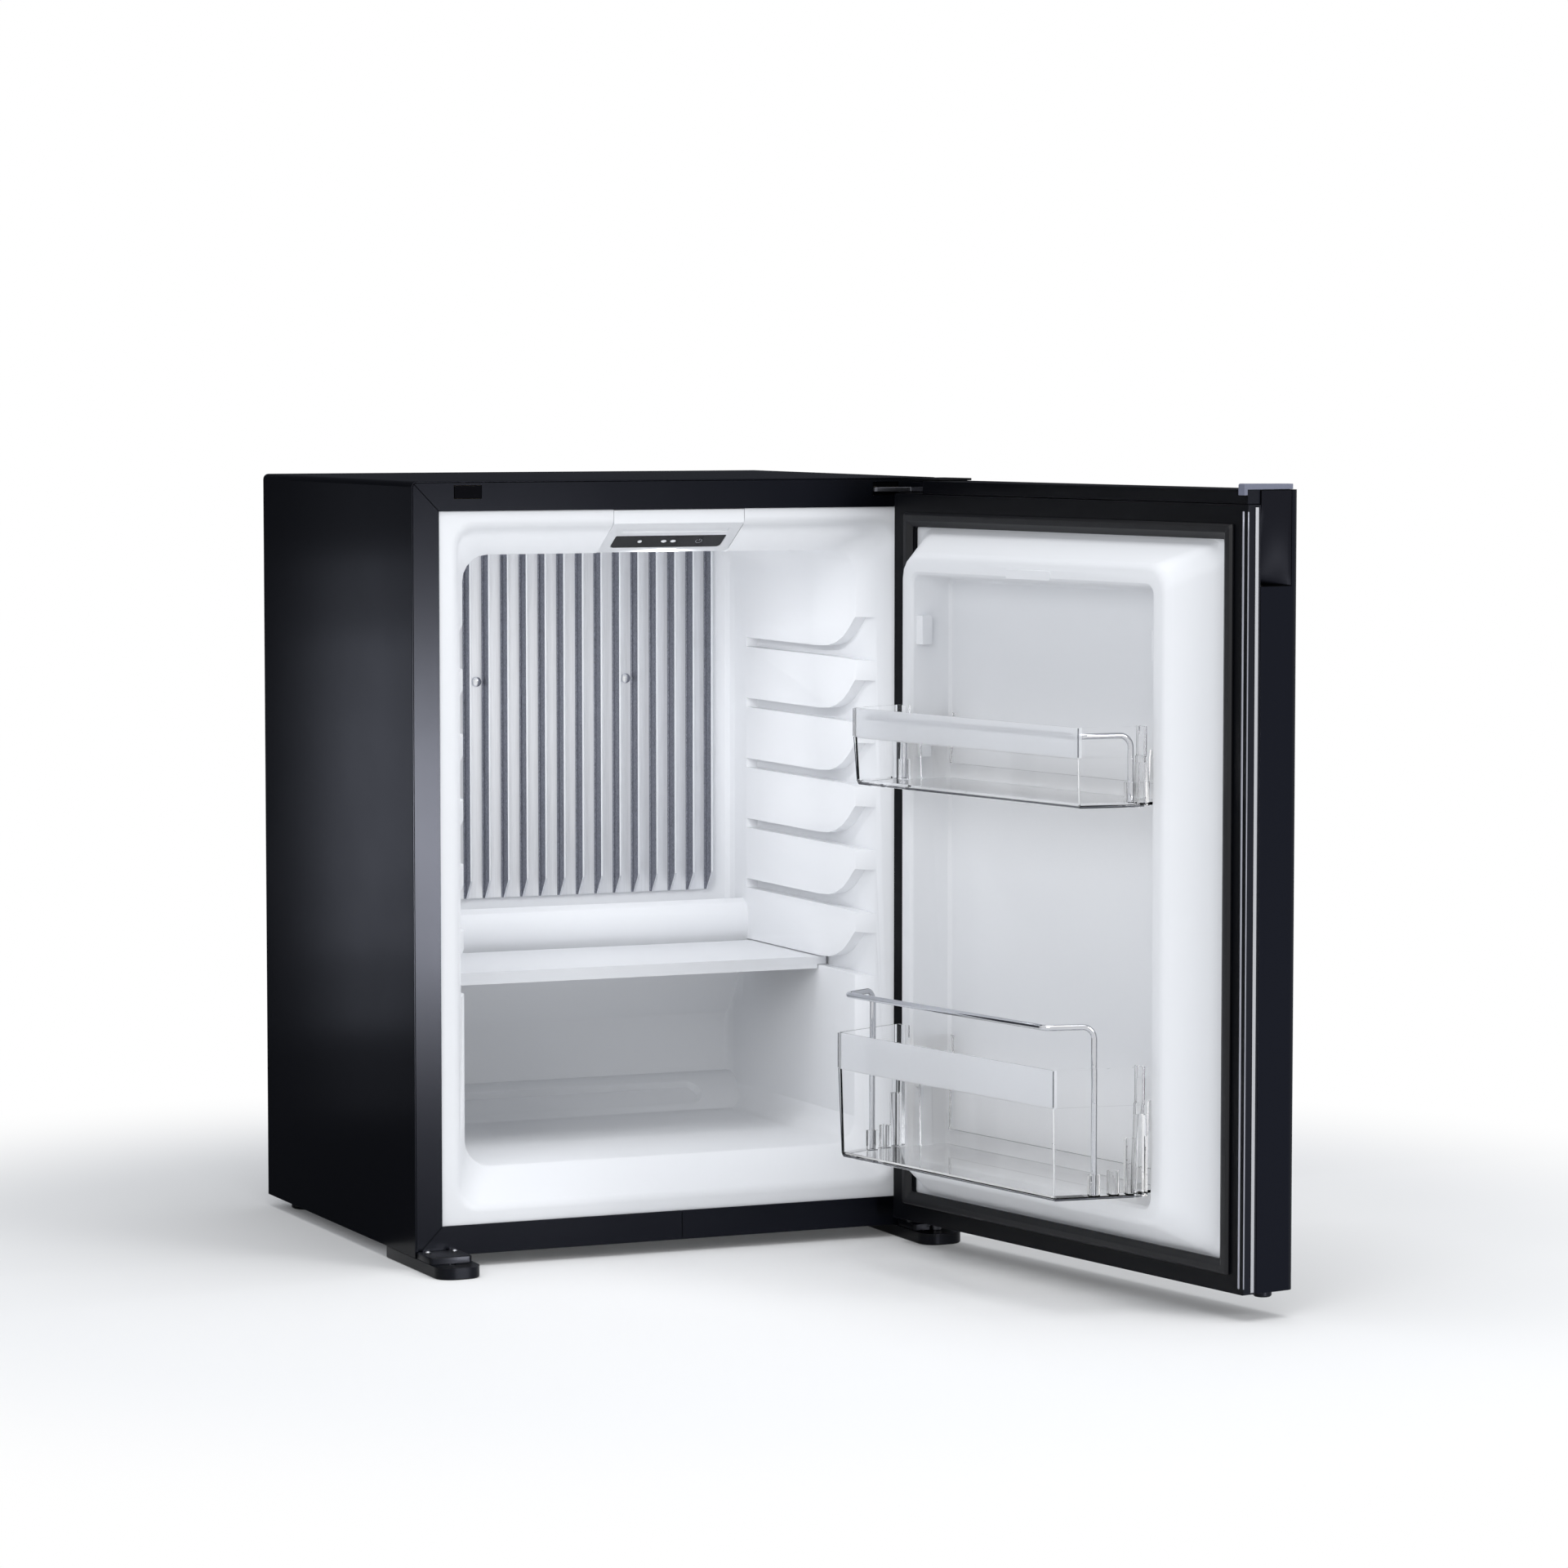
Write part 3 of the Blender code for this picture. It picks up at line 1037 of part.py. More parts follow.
LINER_D = 1.4 * MM
front_side = dyke_rings(0.0, 0.0)
back_side = dyke_rings(LINER_D, LINER_D)
n_ring = len(front_side[0])
verts = [p for ring in front_side + back_side for p in ring]
faces = []
rows = len(front_side)
for base_row in (0, rows):
    for k in range(rows - 1):
        for i in range(n_ring):
            j = (i + 1) % n_ring
            a = (base_row + k) * n_ring
            faces.append([a + i, a + j, a + n_ring + j, a + n_ring + i])
for i in range(n_ring):
    j = (i + 1) % n_ring
    faces.append([i, j, rows * n_ring + j, rows * n_ring + i])
faces.append([(rows - 1) * n_ring + i for i in range(n_ring)])
faces.append([(2 * rows - 1) * n_ring + i for i in range(n_ring)])
door_liner = solid("door_liner", verts, faces, WHITE)
lug_tops = [RECESS_HIGH - 29 * MM, RECESS_HIGH - 108 * MM, RECESS_LOW + 70.2 * MM]
LUG_OFF0, LUG_OFF1 = 16 * MM, 16 * MM + LUG_W
LUG_TIP = CREST_IN - 6.3 * MM
lugs = []
for top in lug_tops:
    for sign in (-1, 1):
        line = [
            (DYKE_MID + sign * (CREST_IN - 0.6 * MM), LUG_OFF0), (DYKE_MID + sign * LUG_TIP, LUG_OFF0 + 0.8 * MM),
            (DYKE_MID + sign * LUG_TIP, LUG_OFF1 - 0.8 * MM), (DYKE_MID + sign * (CREST_IN + 0.4 * MM), LUG_OFF1),
        ]
        lugs.append(door_prism("lug", line, top - LUG_H, top, WHITE))
pad = door_plate(
    "pad", rect(DYKE_MID - 25 * MM, DYKE_MID + 25 * MM, RECESS_HIGH + 0.5 * MM, RECESS_HIGH + 7 * MM, 1 * MM, 2),
    DYKE_H - 0.7 * MM, DYKE_H + 0.8 * MM, WHITE,
)
join(door_liner, group("lugs", lugs), pad)

# Door foam: fills the skin and rises into the dyke
BOTTOM_RAIL_TOP = DOOR_LOW + 7.6 * MM
foam_low, foam_high = BOTTOM_RAIL_TOP + GAP, INNER_HIGH - 4.9 * MM
foam_rings = [
    door_ring(SKIN_R, DOOR_W - SKIN_R, foam_low, foam_high, 3 * MM, -DOOR_T + SKIN_T + GAP),
    door_ring(2 * MM, DOOR_W - 2 * MM, foam_low, foam_high, 3 * MM, -DOOR_T + SKIN_R),
    door_ring(2 * MM, DOOR_W - 2 * MM, foam_low, foam_high, 3 * MM, -11.0 * MM),
    door_ring(4 * MM, DOOR_W - 4 * MM, foam_low + 2 * MM, foam_high - 2 * MM, 3 * MM, -11.0 * MM),
    door_ring(4 * MM, DOOR_W - 4 * MM, foam_low + 2 * MM, foam_high - 2 * MM, 3 * MM, -6.0 * MM),
]
foam_top = dyke_rings(LINER_D + GAP, LINER_D + 2 * GAP)
foam_door = loft("door_foam", foam_rings + foam_top[1:], FOAM)
cut(
    foam_door,
    door_prism(
        "scoop_room", rect(SCOOP_S0 - GAP, DOOR_W + 5 * MM, scoop_off0 - GAP, scoop_off1 + GAP),
        SCOOP_LOW, DOOR_HIGH, FOAM,
    ),
    rod("bush_room", 0, 0, INNER_HIGH - 29 * MM, "z", 7 * MM, 60 * MM, FOAM),
    rod("bush_room", 0, 0, 0, "z", 7 * MM, 40 * MM, FOAM),
)

# Top and bottom rails
RAIL_OFF0, RAIL_OFF1 = -0.8 * MM, -DOOR_T + SKIN_T + GAP
rail_outline = rect(SKIN_T + GAP, DOOR_W - SKIN_T - GAP, RAIL_OFF1, RAIL_OFF0)
rail_line = fillet(
    rail_outline, [SKIN_R - SKIN_T, SKIN_R - SKIN_T, 0, 0], 5
)
top_rail = door_prism("door_top_rail", rail_line, INNER_HIGH + GAP, DOOR_HIGH, BLACK_PLASTIC)
cut(
    top_rail,
    door_prism(
        "notch", rect(-2 * MM, NOTCH_S, NOTCH_OFF, 5 * MM), NOTCH_LOW, DOOR_HIGH + MM, BLACK_PLASTIC
    ),
    door_prism(
        "scoop_room", rect(SCOOP_S0 - GAP, DOOR_W + 5 * MM, scoop_off0 - GAP, scoop_off1 + GAP),
        SCOOP_LOW, DOOR_HIGH + MM, BLACK_PLASTIC,
    ),
    rod("bore", 0, 0, INNER_HIGH - 5 * MM, "z", 7 * MM, 20 * MM, BLACK_PLASTIC),
)
low_line = rect(SKIN_T + GAP, DOOR_W - SKIN_T - GAP, RAIL_OFF1, -10.4 * MM - GAP)
low_line = fillet(low_line, [SKIN_R - SKIN_T, SKIN_R - SKIN_T, 0, 0], 5)
bottom_rail = door_prism("door_bottom_rail", low_line, DOOR_LOW, BOTTOM_RAIL_TOP, BLACK_PLASTIC)
MIRROR_S = DOOR_W - PIN_S
for s, r in ((PIN_S, 7 * MM), (MIRROR_S, 4.5 * MM)):
    spot = at(s, -PIN_OFF)
    cut(bottom_rail, rod("bore", spot[0], spot[1], 0, "z", r, 40 * MM, BLACK_PLASTIC))

# Bushes, caps and the spare bush on the free side
lower_bush = turned(
    "hinge_bush_lower",
    [
        (LOW_PIN_R + GAP, BLOCK_TOP + GAP), (7.4 * MM, BLOCK_TOP + GAP), (7.4 * MM, INNER_LOW - GAP),
        (6.6 * MM, INNER_LOW - GAP), (6.6 * MM, 30 * MM), (LOW_PIN_R + GAP, 30 * MM),
    ],
    0, 0, 0, "z", GREY,
)
upper_bush = turned(
    "hinge_bush_upper",
    [
        (PIN_R + GAP, PLATE_LOW - 25 * MM), (6.6 * MM, PLATE_LOW - 25 * MM), (6.6 * MM, PLATE_LOW - GAP),
        (PIN_R + GAP, PLATE_LOW - GAP),
    ],
    0, 0, 0, "z", GREY,
)
spare = at(MIRROR_S, -PIN_OFF)
spare_bush = turned(
    "hinge_bush_spare",
    [
        (0, 4.8 * MM), (5.2 * MM, 4.8 * MM), (6.2 * MM, 5.8 * MM), (6.2 * MM, DOOR_LOW - GAP),
        (4.2 * MM, DOOR_LOW - GAP), (4.2 * MM, 17 * MM), (0, 17 * MM),
    ],
    spare[0], spare[1], 0, "z", BLACK_PLASTIC,
)
CAP_LOW = DOOR_HIGH + GAP
cap_line = [
    (-37.5 * MM, CAP_LOW), (0.4 * MM, CAP_LOW), (0.4 * MM, CAP_LOW - 3.7 * MM),
    (3.3 * MM, CAP_LOW - 3.7 * MM), (3.3 * MM, CAP_LOW + 3.1 * MM), (2.5 * MM, CAP_LOW + 3.9 * MM),
    (-37.5 * MM, CAP_LOW + 3.5 * MM),
]
cap_rings = [[(*at(s, off), z) for off, z in cap_line] for s in (DOOR_W - 6.6 * MM, DOOR_W - 0.2 * MM)]
cap_free = loft("door_cap_free_side", cap_rings, GREY)
CAP_T = 1.6 * MM
cap_over = fillet(
    [(1.5 * MM, -42 * MM), (36 * MM, -42 * MM), (36 * MM, -9 * MM), (1.5 * MM, -9 * MM)],
    [4 * MM, 1 * MM, 6 * MM, 3 * MM], 4,
)
cap_hinge = door_prism("door_cap_hinge_side", cap_over, DOOR_HIGH + GAP, DOOR_HIGH + GAP + CAP_T, BLACK_PLASTIC)
cap_plug = rect(SKIN_T + 3.5 * MM, NOTCH_S - GAP, NOTCH_OFF + GAP, -11 * MM)
join(cap_hinge, door_prism("plug", cap_plug, DOOR_HIGH - 1.4 * MM, DOOR_HIGH + MM, BLACK_PLASTIC))


# Door bins
EAR_HALF, BIN_BACK = CREST_IN - 4.3 * MM, 1.6 * MM
WING_HALF, WING_OFF = CREST_OUT - 5.0 * MM, DYKE_H + 7.0 * MM
LUG_ROOM = 0.3 * MM


def bin_line(front_half, front_off, d):
    """A bin's outline seen from above, moved inwards by d: front, splayed sides, wings and ears."""
    c = DYKE_MID
    half = [
        (front_half, front_off), (WING_HALF, WING_OFF), (EAR_HALF, WING_OFF), (EAR_HALF, BIN_BACK),
    ]
    radii = [3.5 * MM - d, 2.5 * MM - d, 0.6 * MM + d, 4 * MM - d]
    radii = [max(r, 0.3 * MM) for r in radii]
    points = [(c + a, b) for a, b in half] + [(c - a, b) for a, b in half[::-1]]
    return fillet(inset(points, d), radii + radii[::-1], 3)


def bin_loft(name, front_half, front_off, levels):
    rings = []
    for d, z in levels:
        rings.append([(*at(s, off), z) for s, off in bin_line(front_half, front_off, d)])
    return loft(name, rings, CLEAR)


def make_bin(name, low, high, band, front, lug_top, leg, tubes):
    """A bin between two heights: front, leg and tubes hold half widths and offs, tubes also tops."""
    c, wall, proud, lean = DYKE_MID, BIN_WALL, 0.7 * MM, 2.2 * MM
    body = bin_loft(
        name, *front,
        [(lean + MM, low), (lean, low + 1.6 * MM), (proud, high - band), (0, high - band), (0, high)],
    )
    hollow = bin_loft(
        "hollow", *front,
        [
            (lean + MM + wall, low + wall), (lean + wall, low + wall + 1.6 * MM),
            (proud + wall, high - band - MM), (wall, high - band + MM), (wall, high + MM),
        ],
    )
    cut(body, hollow)
    ways = []
    for sign in (-1, 1):
        line = rect(
            c + sign * (EAR_HALF + 5 * MM), c + sign * (EAR_HALF - 5.2 * MM),
            LUG_OFF0 - 0.5 * MM, LUG_OFF1 + 0.5 * MM,
        )
        ways.append(door_prism("way", line, low - MM, lug_top + LUG_ROOM, CLEAR))
    behind = rect(c - WING_HALF - 3 * MM, c + WING_HALF + 3 * MM, -5 * MM, WING_OFF - 1.5 * MM)
    ear_top = lug_top + 0.65 * (high - lug_top)
    lip_half = EAR_HALF - 8 * MM
    above_lip = rect(c - lip_half, c + lip_half, -5 * MM, BIN_BACK + 5 * MM)
    cut(
        body,
        door_prism("back_open", behind, ear_top, high + MM, CLEAR),
        door_prism("back_low", above_lip, low + 12 * MM, high + MM, CLEAR),
        group("lug_ways", ways),
    )
    added = []
    for sign in (-1, 1):
        post = rect(
            c + sign * (EAR_HALF + 2.5 * MM), c + sign * (WING_HALF - MM),
            WING_OFF - 1.2 * MM, WING_OFF + 5 * MM,
        )
        added.append(door_prism("post", post, low + MM, lug_top - 7 * MM, CLEAR))
        for half, off, top in [(*leg, low + SLEEVE_H)] + tubes:
            x, y = at(c + sign * half, off)
            added.append(rod("sleeve", x, y, low + MM, "z", SLEEVE_R, top - low - MM, CLEAR, 14))
    for piece in added:
        join(body, piece)
    for sign in (-1, 1):
        for half, off, top in [(*leg, low)] + tubes:
            x, y = at(c + sign * half, off)
            cut(body, rod("bore", x, y, low + wall + 0.6 * MM, "z", WIRE_R + GAP, 60 * MM, CLEAR, 14))
    return body


def make_wire(name, low, top, leg_half, leg_off, run_half, run_off):
    c = DYKE_MID
    path = [
        (*at(c - leg_half, leg_off), low), (*at(c - leg_half, leg_off), top),
        (*at(c - run_half, run_off), top), (*at(c + run_half, run_off), top),
        (*at(c + leg_half, leg_off), top), (*at(c + leg_half, leg_off), low),
    ]
    return pipe(name, path, WIRE_R, CHROME, 8 * MM, 4, 2)


# Each bin hangs on its pair of lugs, and its heights are counted from their tops
up_lug, low_lug = lug_tops[1], lug_tops[2]
UP_LOW, UP_HIGH, UP_BAND = up_lug - 36.5 * MM, up_lug + 16.8 * MM, 20 * MM
UP_LEG, UP_FRONT = (EAR_HALF - 3.6 * MM, 41 * MM), (EAR_HALF - 2.8 * MM, 84.8 * MM)
upper_bin = make_bin("bin_upper", UP_LOW, UP_HIGH, UP_BAND, UP_FRONT, up_lug, UP_LEG, [])
upper_wire = make_wire(
    "bin_wire_upper", UP_LOW + BIN_WALL + 0.9 * MM, up_lug + 10.4 * MM, *UP_LEG,
    UP_LEG[0] - 7 * MM, UP_FRONT[1] - 5.3 * MM,
)
LOW_LOW, LOW_HIGH, LOW_BAND = low_lug - 62.2 * MM, low_lug + 24.8 * MM, 25 * MM
LOW_LEG, LOW_FRONT = (EAR_HALF - 4.7 * MM, 69 * MM), (EAR_HALF - 7.4 * MM, 100.5 * MM)
low_tubes = [
    (LOW_LEG[0] + 3.2 * MM, LOW_LEG[1] - 13.5 * MM, LOW_LOW + SLEEVE_H + 2 * MM),
    (LOW_LEG[0] + 6.6 * MM, LOW_LEG[1] - 25 * MM, LOW_LOW + 39.5 * MM),
]
lower_bin = make_bin("bin_lower", LOW_LOW, LOW_HIGH, LOW_BAND, LOW_FRONT, low_lug, LOW_LEG, low_tubes)
lower_wire = make_wire(
    "bin_wire_lower", LOW_LOW + BIN_WALL + 0.9 * MM, low_lug + 52.0 * MM, *LOW_LEG,
    LOW_LEG[0] - 12 * MM, LOW_FRONT[1] - MM,
)

# Assembly: everything hangs on one root, and the door on its pin
door_names = {
    "door_skin", "door_handle_scoop", "door_inner_frame", "door_bright_strip", "door_gasket",
    "door_liner", "door_foam", "door_top_rail", "door_bottom_rail", "hinge_bush_lower",
    "hinge_bush_upper", "hinge_bush_spare", "door_cap_free_side", "door_cap_hinge_side",
    "bin_upper", "bin_wire_upper", "bin_lower", "bin_wire_lower",
}
root = bpy.data.objects.new("cabinet_origin", None)
pivot = bpy.data.objects.new("door_pivot", None)
for empty in (root, pivot):
    bpy.context.scene.collection.objects.link(empty)
pivot.parent = root
pivot.location = (PIN_X, PIN_Y, 0)
pivot.rotation_euler = (0, 0, math.radians(DOOR_ANGLE))
for obj in list(bpy.context.scene.objects):
    if obj.type == "MESH":
        obj.data.shade_smooth()
        obj.data.set_sharp_from_angle(angle=math.radians(35))
    if obj not in (root, pivot):
        obj.parent = pivot if obj.name in door_names else root

# The origin is under the middle of the whole box, on the surface that the feet rest on
bpy.context.view_layer.update()
graph = bpy.context.evaluated_depsgraph_get()
low = [math.inf] * 3
high = [-math.inf] * 3
for obj in bpy.context.scene.objects:
    if obj.type == "EMPTY":
        continue
    seen = obj.evaluated_get(graph)
    for vert in seen.to_mesh().vertices:
        spot = seen.matrix_world @ vert.co
        low = [min(a, b) for a, b in zip(low, spot)]
        high = [max(a, b) for a, b in zip(high, spot)]
    seen.to_mesh_clear()
root.location = (-(low[0] + high[0]) / 2, -(low[1] + high[1]) / 2, -low[2])
print("root", [round(v * 1000, 4) for v in root.location])
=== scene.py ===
# %% [markdown]
# A small hotel fridge with its door open, dressed for a portrait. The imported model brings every
# rigid piece in its place. This script gives each one its finish and its softened edges, works
# out the fine pieces again from formulas, and sets the camera and the light.

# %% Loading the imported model
import json
import math

import bmesh
import bpy
import numpy as np
from mathutils import Matrix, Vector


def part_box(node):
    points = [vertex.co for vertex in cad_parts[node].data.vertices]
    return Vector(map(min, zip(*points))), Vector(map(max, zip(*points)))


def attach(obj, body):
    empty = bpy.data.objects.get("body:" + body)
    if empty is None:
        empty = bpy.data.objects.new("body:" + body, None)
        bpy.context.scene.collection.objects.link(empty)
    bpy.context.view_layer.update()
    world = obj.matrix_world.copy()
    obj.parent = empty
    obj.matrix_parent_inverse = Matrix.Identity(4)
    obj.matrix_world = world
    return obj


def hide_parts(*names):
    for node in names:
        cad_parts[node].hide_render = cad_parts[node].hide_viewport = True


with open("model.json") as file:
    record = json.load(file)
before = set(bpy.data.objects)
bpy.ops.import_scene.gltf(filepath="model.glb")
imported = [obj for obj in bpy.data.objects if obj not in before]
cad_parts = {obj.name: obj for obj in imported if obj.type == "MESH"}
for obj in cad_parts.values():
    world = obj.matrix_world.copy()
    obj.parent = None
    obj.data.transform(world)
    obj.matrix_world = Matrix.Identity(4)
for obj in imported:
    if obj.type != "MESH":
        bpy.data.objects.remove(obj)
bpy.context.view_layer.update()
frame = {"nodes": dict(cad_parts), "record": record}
bodies = frame["record"]["behaviour"]["bodies"]
body_of_node = {node: body for body, nodes in bodies.items() for node in nodes}

# %% [markdown]
# Two rulers. The cabinet was measured in millimetres from its lower left front corner, and the
# door from its hinge pin, closed. `cabinet` turns the first into places in the scene, and `door`
# the second: s runs from the hinge side to the free side, off from the door's inner plane towards
# the cabinet, and the door's own angle turns both round the pin.

# %% The two rulers
MM = 0.001
corner = np.array(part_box("outer_shell")[0])
hinge = next(j for j in frame["record"]["behaviour"]["joints"] if j["name"] == "door_hinge")
pin = np.array(hinge["pos_m"])
DOOR_TURN = math.radians(100)
PIN_S, PIN_OFF = 14.5, 27.8


def cabinet(points):
    """Points in millimetres from the cabinet's corner, as places in the scene: P / 1000 + corner."""
    return np.asarray(points, float) * MM + corner


def door(s, off, z):
    """Door points: x = pin_s - s and y = off + pin_off, turned by the door's angle round the pin."""
    s, off, z = np.broadcast_arrays(s, off, z)
    x, y = (PIN_S - s) * MM, (off + PIN_OFF) * MM
    c, n = math.cos(DOOR_TURN), math.sin(DOOR_TURN)
    return np.stack([pin[0] + x * c - y * n, pin[1] + x * n + y * c, corner[2] + z * MM], -1)


print("corner", corner.round(4), "pin", pin.round(4))

# %% [markdown]
# The portrait was taken from the left, a little above, with a long lens. A real camera is given
# by its place, where it points and its focal length, and all three were fitted to the straight
# edges of the cabinet and the door.

# %% Camera
SENSOR = 36.0
FOCAL_PX, PICTURE_PX = 6522.2, 1920
CAMERA_PLACE = [-1251.39, -3459.90, 609.53]
LOOKS_DOWN, TURNED = 4.338, -23.882
camera_data = bpy.data.cameras.new("portrait")
camera_data.sensor_width = SENSOR
camera_data.lens = SENSOR * FOCAL_PX / PICTURE_PX
camera_data.clip_end = 50
camera = bpy.data.objects.new("portrait", camera_data)
bpy.context.scene.collection.objects.link(camera)
camera.location = cabinet(CAMERA_PLACE)
camera.rotation_euler = (math.radians(90 - LOOKS_DOWN), 0, math.radians(TURNED))
bpy.context.scene.camera = camera
print("camera at", [round(v, 3) for v in camera.location], "lens", round(camera_data.lens, 1))

# %% [markdown]
# Finishes are node trees. No real surface is quite even, so one helper makes a Principled shader
# whose roughness drifts with large soft noise, where hands and cloths have polished it, and whose
# height follows fine noise, which is the grain of a powder coat or of a mould.


# %% A finish with grain and wear
WEAR_SCALE = 18.0


def finish(name, color, rough, metal=0.0, grain=1500.0, bump=0.0, spread=0.04, stretch=(1, 1, 1),
           tone=0.0, depth=0.2, **sockets):
    """Roughness is rough -+ spread after large noise; colour * (1 -+ tone) and height after fine noise."""
    mat = bpy.data.materials.new(name)
    mat.use_nodes = True
    tree = mat.node_tree
    shader = tree.nodes["Principled BSDF"]
    shader.inputs["Base Color"].default_value = (*color, 1.0)
    shader.inputs["Roughness"].default_value = rough
    shader.inputs["Metallic"].default_value = metal
    for socket, value in sockets.items():
        shader.inputs[socket.replace("_", " ")].default_value = value
    place = tree.nodes.new("ShaderNodeTexCoord")
    turn = tree.nodes.new("ShaderNodeMapping")
    turn.inputs["Scale"].default_value = stretch
    tree.links.new(place.outputs["Object"], turn.inputs["Vector"])
    large = tree.nodes.new("ShaderNodeTexNoise")
    large.inputs["Scale"].default_value = WEAR_SCALE
    large.inputs["Detail"].default_value = 4.0
    tree.links.new(turn.outputs["Vector"], large.inputs["Vector"])
    span = tree.nodes.new("ShaderNodeMapRange")
    span.inputs["To Min"].default_value = max(rough - spread, 0.0)
    span.inputs["To Max"].default_value = rough + spread
    tree.links.new(large.outputs["Fac"], span.inputs["Value"])
    tree.links.new(span.outputs["Result"], shader.inputs["Roughness"])
    fine = tree.nodes.new("ShaderNodeTexNoise")
    fine.inputs["Scale"].default_value = grain
    fine.inputs["Detail"].default_value = 2.0
    tree.links.new(turn.outputs["Vector"], fine.inputs["Vector"])
    if tone:
        shades = tree.nodes.new("ShaderNodeValToRGB")
        shades.color_ramp.elements[0].position = 0.3
        shades.color_ramp.elements[1].position = 0.7
        shades.color_ramp.elements[0].color = (*[c * (1 - tone) for c in color], 1)
        shades.color_ramp.elements[1].color = (*[min(c * (1 + tone), 1) for c in color], 1)
        tree.links.new(fine.outputs["Fac"], shades.inputs["Fac"])
        tree.links.new(shades.outputs["Color"], shader.inputs["Base Color"])
    if bump:
        relief = tree.nodes.new("ShaderNodeBump")
        relief.inputs["Strength"].default_value = bump
        relief.inputs["Distance"].default_value = depth * MM
        tree.links.new(fine.outputs["Fac"], relief.inputs["Height"])
        tree.links.new(relief.outputs["Normal"], shader.inputs["Normal"])
    return mat


print("finish helper ready")

# %% [markdown]
# The fridge has three families of finish. The coated sheet and the black mouldings are nearly
# black and give back very little light except at a glancing angle, so their specular level is
# far under the usual one. The white mouldings are a cool white with a soft gloss. The metals are
# rolled aluminium, zinc plate and chrome, told apart by their roughness and the way they streak.

# %% Black finishes
black_paint = finish(
    "powder_coated_black", (0.0021, 0.0024, 0.0036), 0.2, grain=1500, bump=0.14, spread=0.02,
    depth=0.06, Specular_IOR_Level=0.04,
)
black_plastic = finish(
    "moulded_black", (0.0025, 0.0028, 0.004), 0.3, grain=2100, bump=0.22, spread=0.04, depth=0.08,
    Specular_IOR_Level=0.08,
)
black_gloss = finish(
    "display_black", (0.003, 0.003, 0.004), 0.07, grain=900, bump=0.01, spread=0.02,
    Specular_IOR_Level=0.2,
)
rubber = finish(
    "gasket_rubber", (0.0045, 0.0048, 0.0065), 0.4, grain=2600, bump=0.15, spread=0.06,
    Specular_IOR_Level=0.3,
)
pipe_paint = finish(
    "black_pipe_paint", (0.012, 0.012, 0.014), 0.4, grain=700, bump=0.2, Specular_IOR_Level=0.3,
)
grey_plastic = finish(
    "grey_cap", (0.15, 0.16, 0.215), 0.42, grain=1700, bump=0.15, Specular_IOR_Level=0.3,
)
shadow_line = finish(
    "seam_shadow", (0.0012, 0.0012, 0.0016), 0.8, grain=1500, bump=0.1, Specular_IOR_Level=0.02,
)
print("black finishes", black_paint.name, black_plastic.name, rubber.name)

# %% White and clear finishes
white = finish(
    "moulded_white", (0.815, 0.827, 0.85), 0.38, grain=220, bump=0.05, spread=0.06, depth=0.08,
    Specular_IOR_Level=0.35,
)
foam_finish = finish("rigid_foam", (0.72, 0.63, 0.4), 0.9, grain=500, bump=0.6, tone=0.12)
# painted shade: the door's foam, seen only in the shadow behind the handle scoop, is near black
door_foam_painted_shade = finish("rigid_foam_painted_shade", (0.012, 0.012, 0.014), 0.9, grain=500, bump=0.6, tone=0.12)
lens = finish("lamp_lens", (0.92, 0.94, 0.96), 0.2, grain=500, bump=0.05, spread=0.02)
clear = finish(
    "clear_styrene", (1.0, 1.0, 1.0), 0.015, grain=60, bump=0.01, spread=0.012,
    Transmission_Weight=1.0, IOR=1.2,
)
frosted = finish(
    "frosted_styrene", (0.9, 0.912, 0.935), 0.32, grain=1300, bump=0.08, spread=0.05,
    Transmission_Weight=0.62, IOR=1.24,
)
# painted shade: the dark edge lines of the clear bins
painted_edge_shade = finish(
    "bin_edge_painted_shade", (0.16, 0.17, 0.2), 0.12, grain=900, bump=0.02, spread=0.04,
    Transmission_Weight=0.5, IOR=1.3,
)
print("white and clear finishes", white.name, clear.name, frosted.name)

# %% Metal finishes
aluminium = finish(
    "rolled_aluminium", (0.88, 0.892, 0.92), 0.34, 0.72, grain=900, bump=0.12, spread=0.08,
    stretch=(1, 1, 0.03), tone=0.04,
)
# painted shade for the blades' left sides and foot fillets: darker metal, with the die's grain
blade_painted_shade = finish(
    "blade_painted_shade", (0.27, 0.28, 0.325), 0.5, 0.85, grain=1800, bump=0.6, spread=0.1,
    stretch=(1, 1, 0.4), tone=0.35,
)
steel = finish("zinc_plated_steel", (0.34, 0.35, 0.37), 0.33, 1.0, grain=900, bump=0.12, tone=0.05)
bright_screw = finish("bright_screw", (0.78, 0.79, 0.81), 0.2, 1.0, grain=900, bump=0.08)
chrome = finish("chromed_wire", (0.56, 0.57, 0.6), 0.08, 1.0, grain=700, bump=0.02, spread=0.03)
trim = finish("trim_strip", (0.5, 0.51, 0.54), 0.26, 1.0, grain=900, bump=0.05, stretch=(1, 1, 0.1))
galvanised = finish(
    "galvanised_sheet", (0.5, 0.52, 0.54), 0.45, 1.0, grain=60, bump=0.1, spread=0.1, tone=0.14,
)
burnished = finish("burnished_steel", (0.09, 0.092, 0.105), 0.3, 0.9, grain=900, bump=0.1, tone=0.1)
worn_black = finish(
    "worn_black", (0.002, 0.0021, 0.003), 0.5, grain=1700, bump=0.25, spread=0.08, depth=0.08,
    Specular_IOR_Level=0.03,
)
finishes = {
    "black_paint": black_paint, "black_plastic": black_plastic, "black_gloss": black_gloss,
    "white_plastic": white, "foam": foam_finish, "rubber": rubber, "aluminium": aluminium,
    "steel": steel, "chrome": chrome, "galvanised": galvanised, "grey_plastic": grey_plastic,
    "lens": lens, "pipe_paint": pipe_paint, "clear_plastic": clear,
}
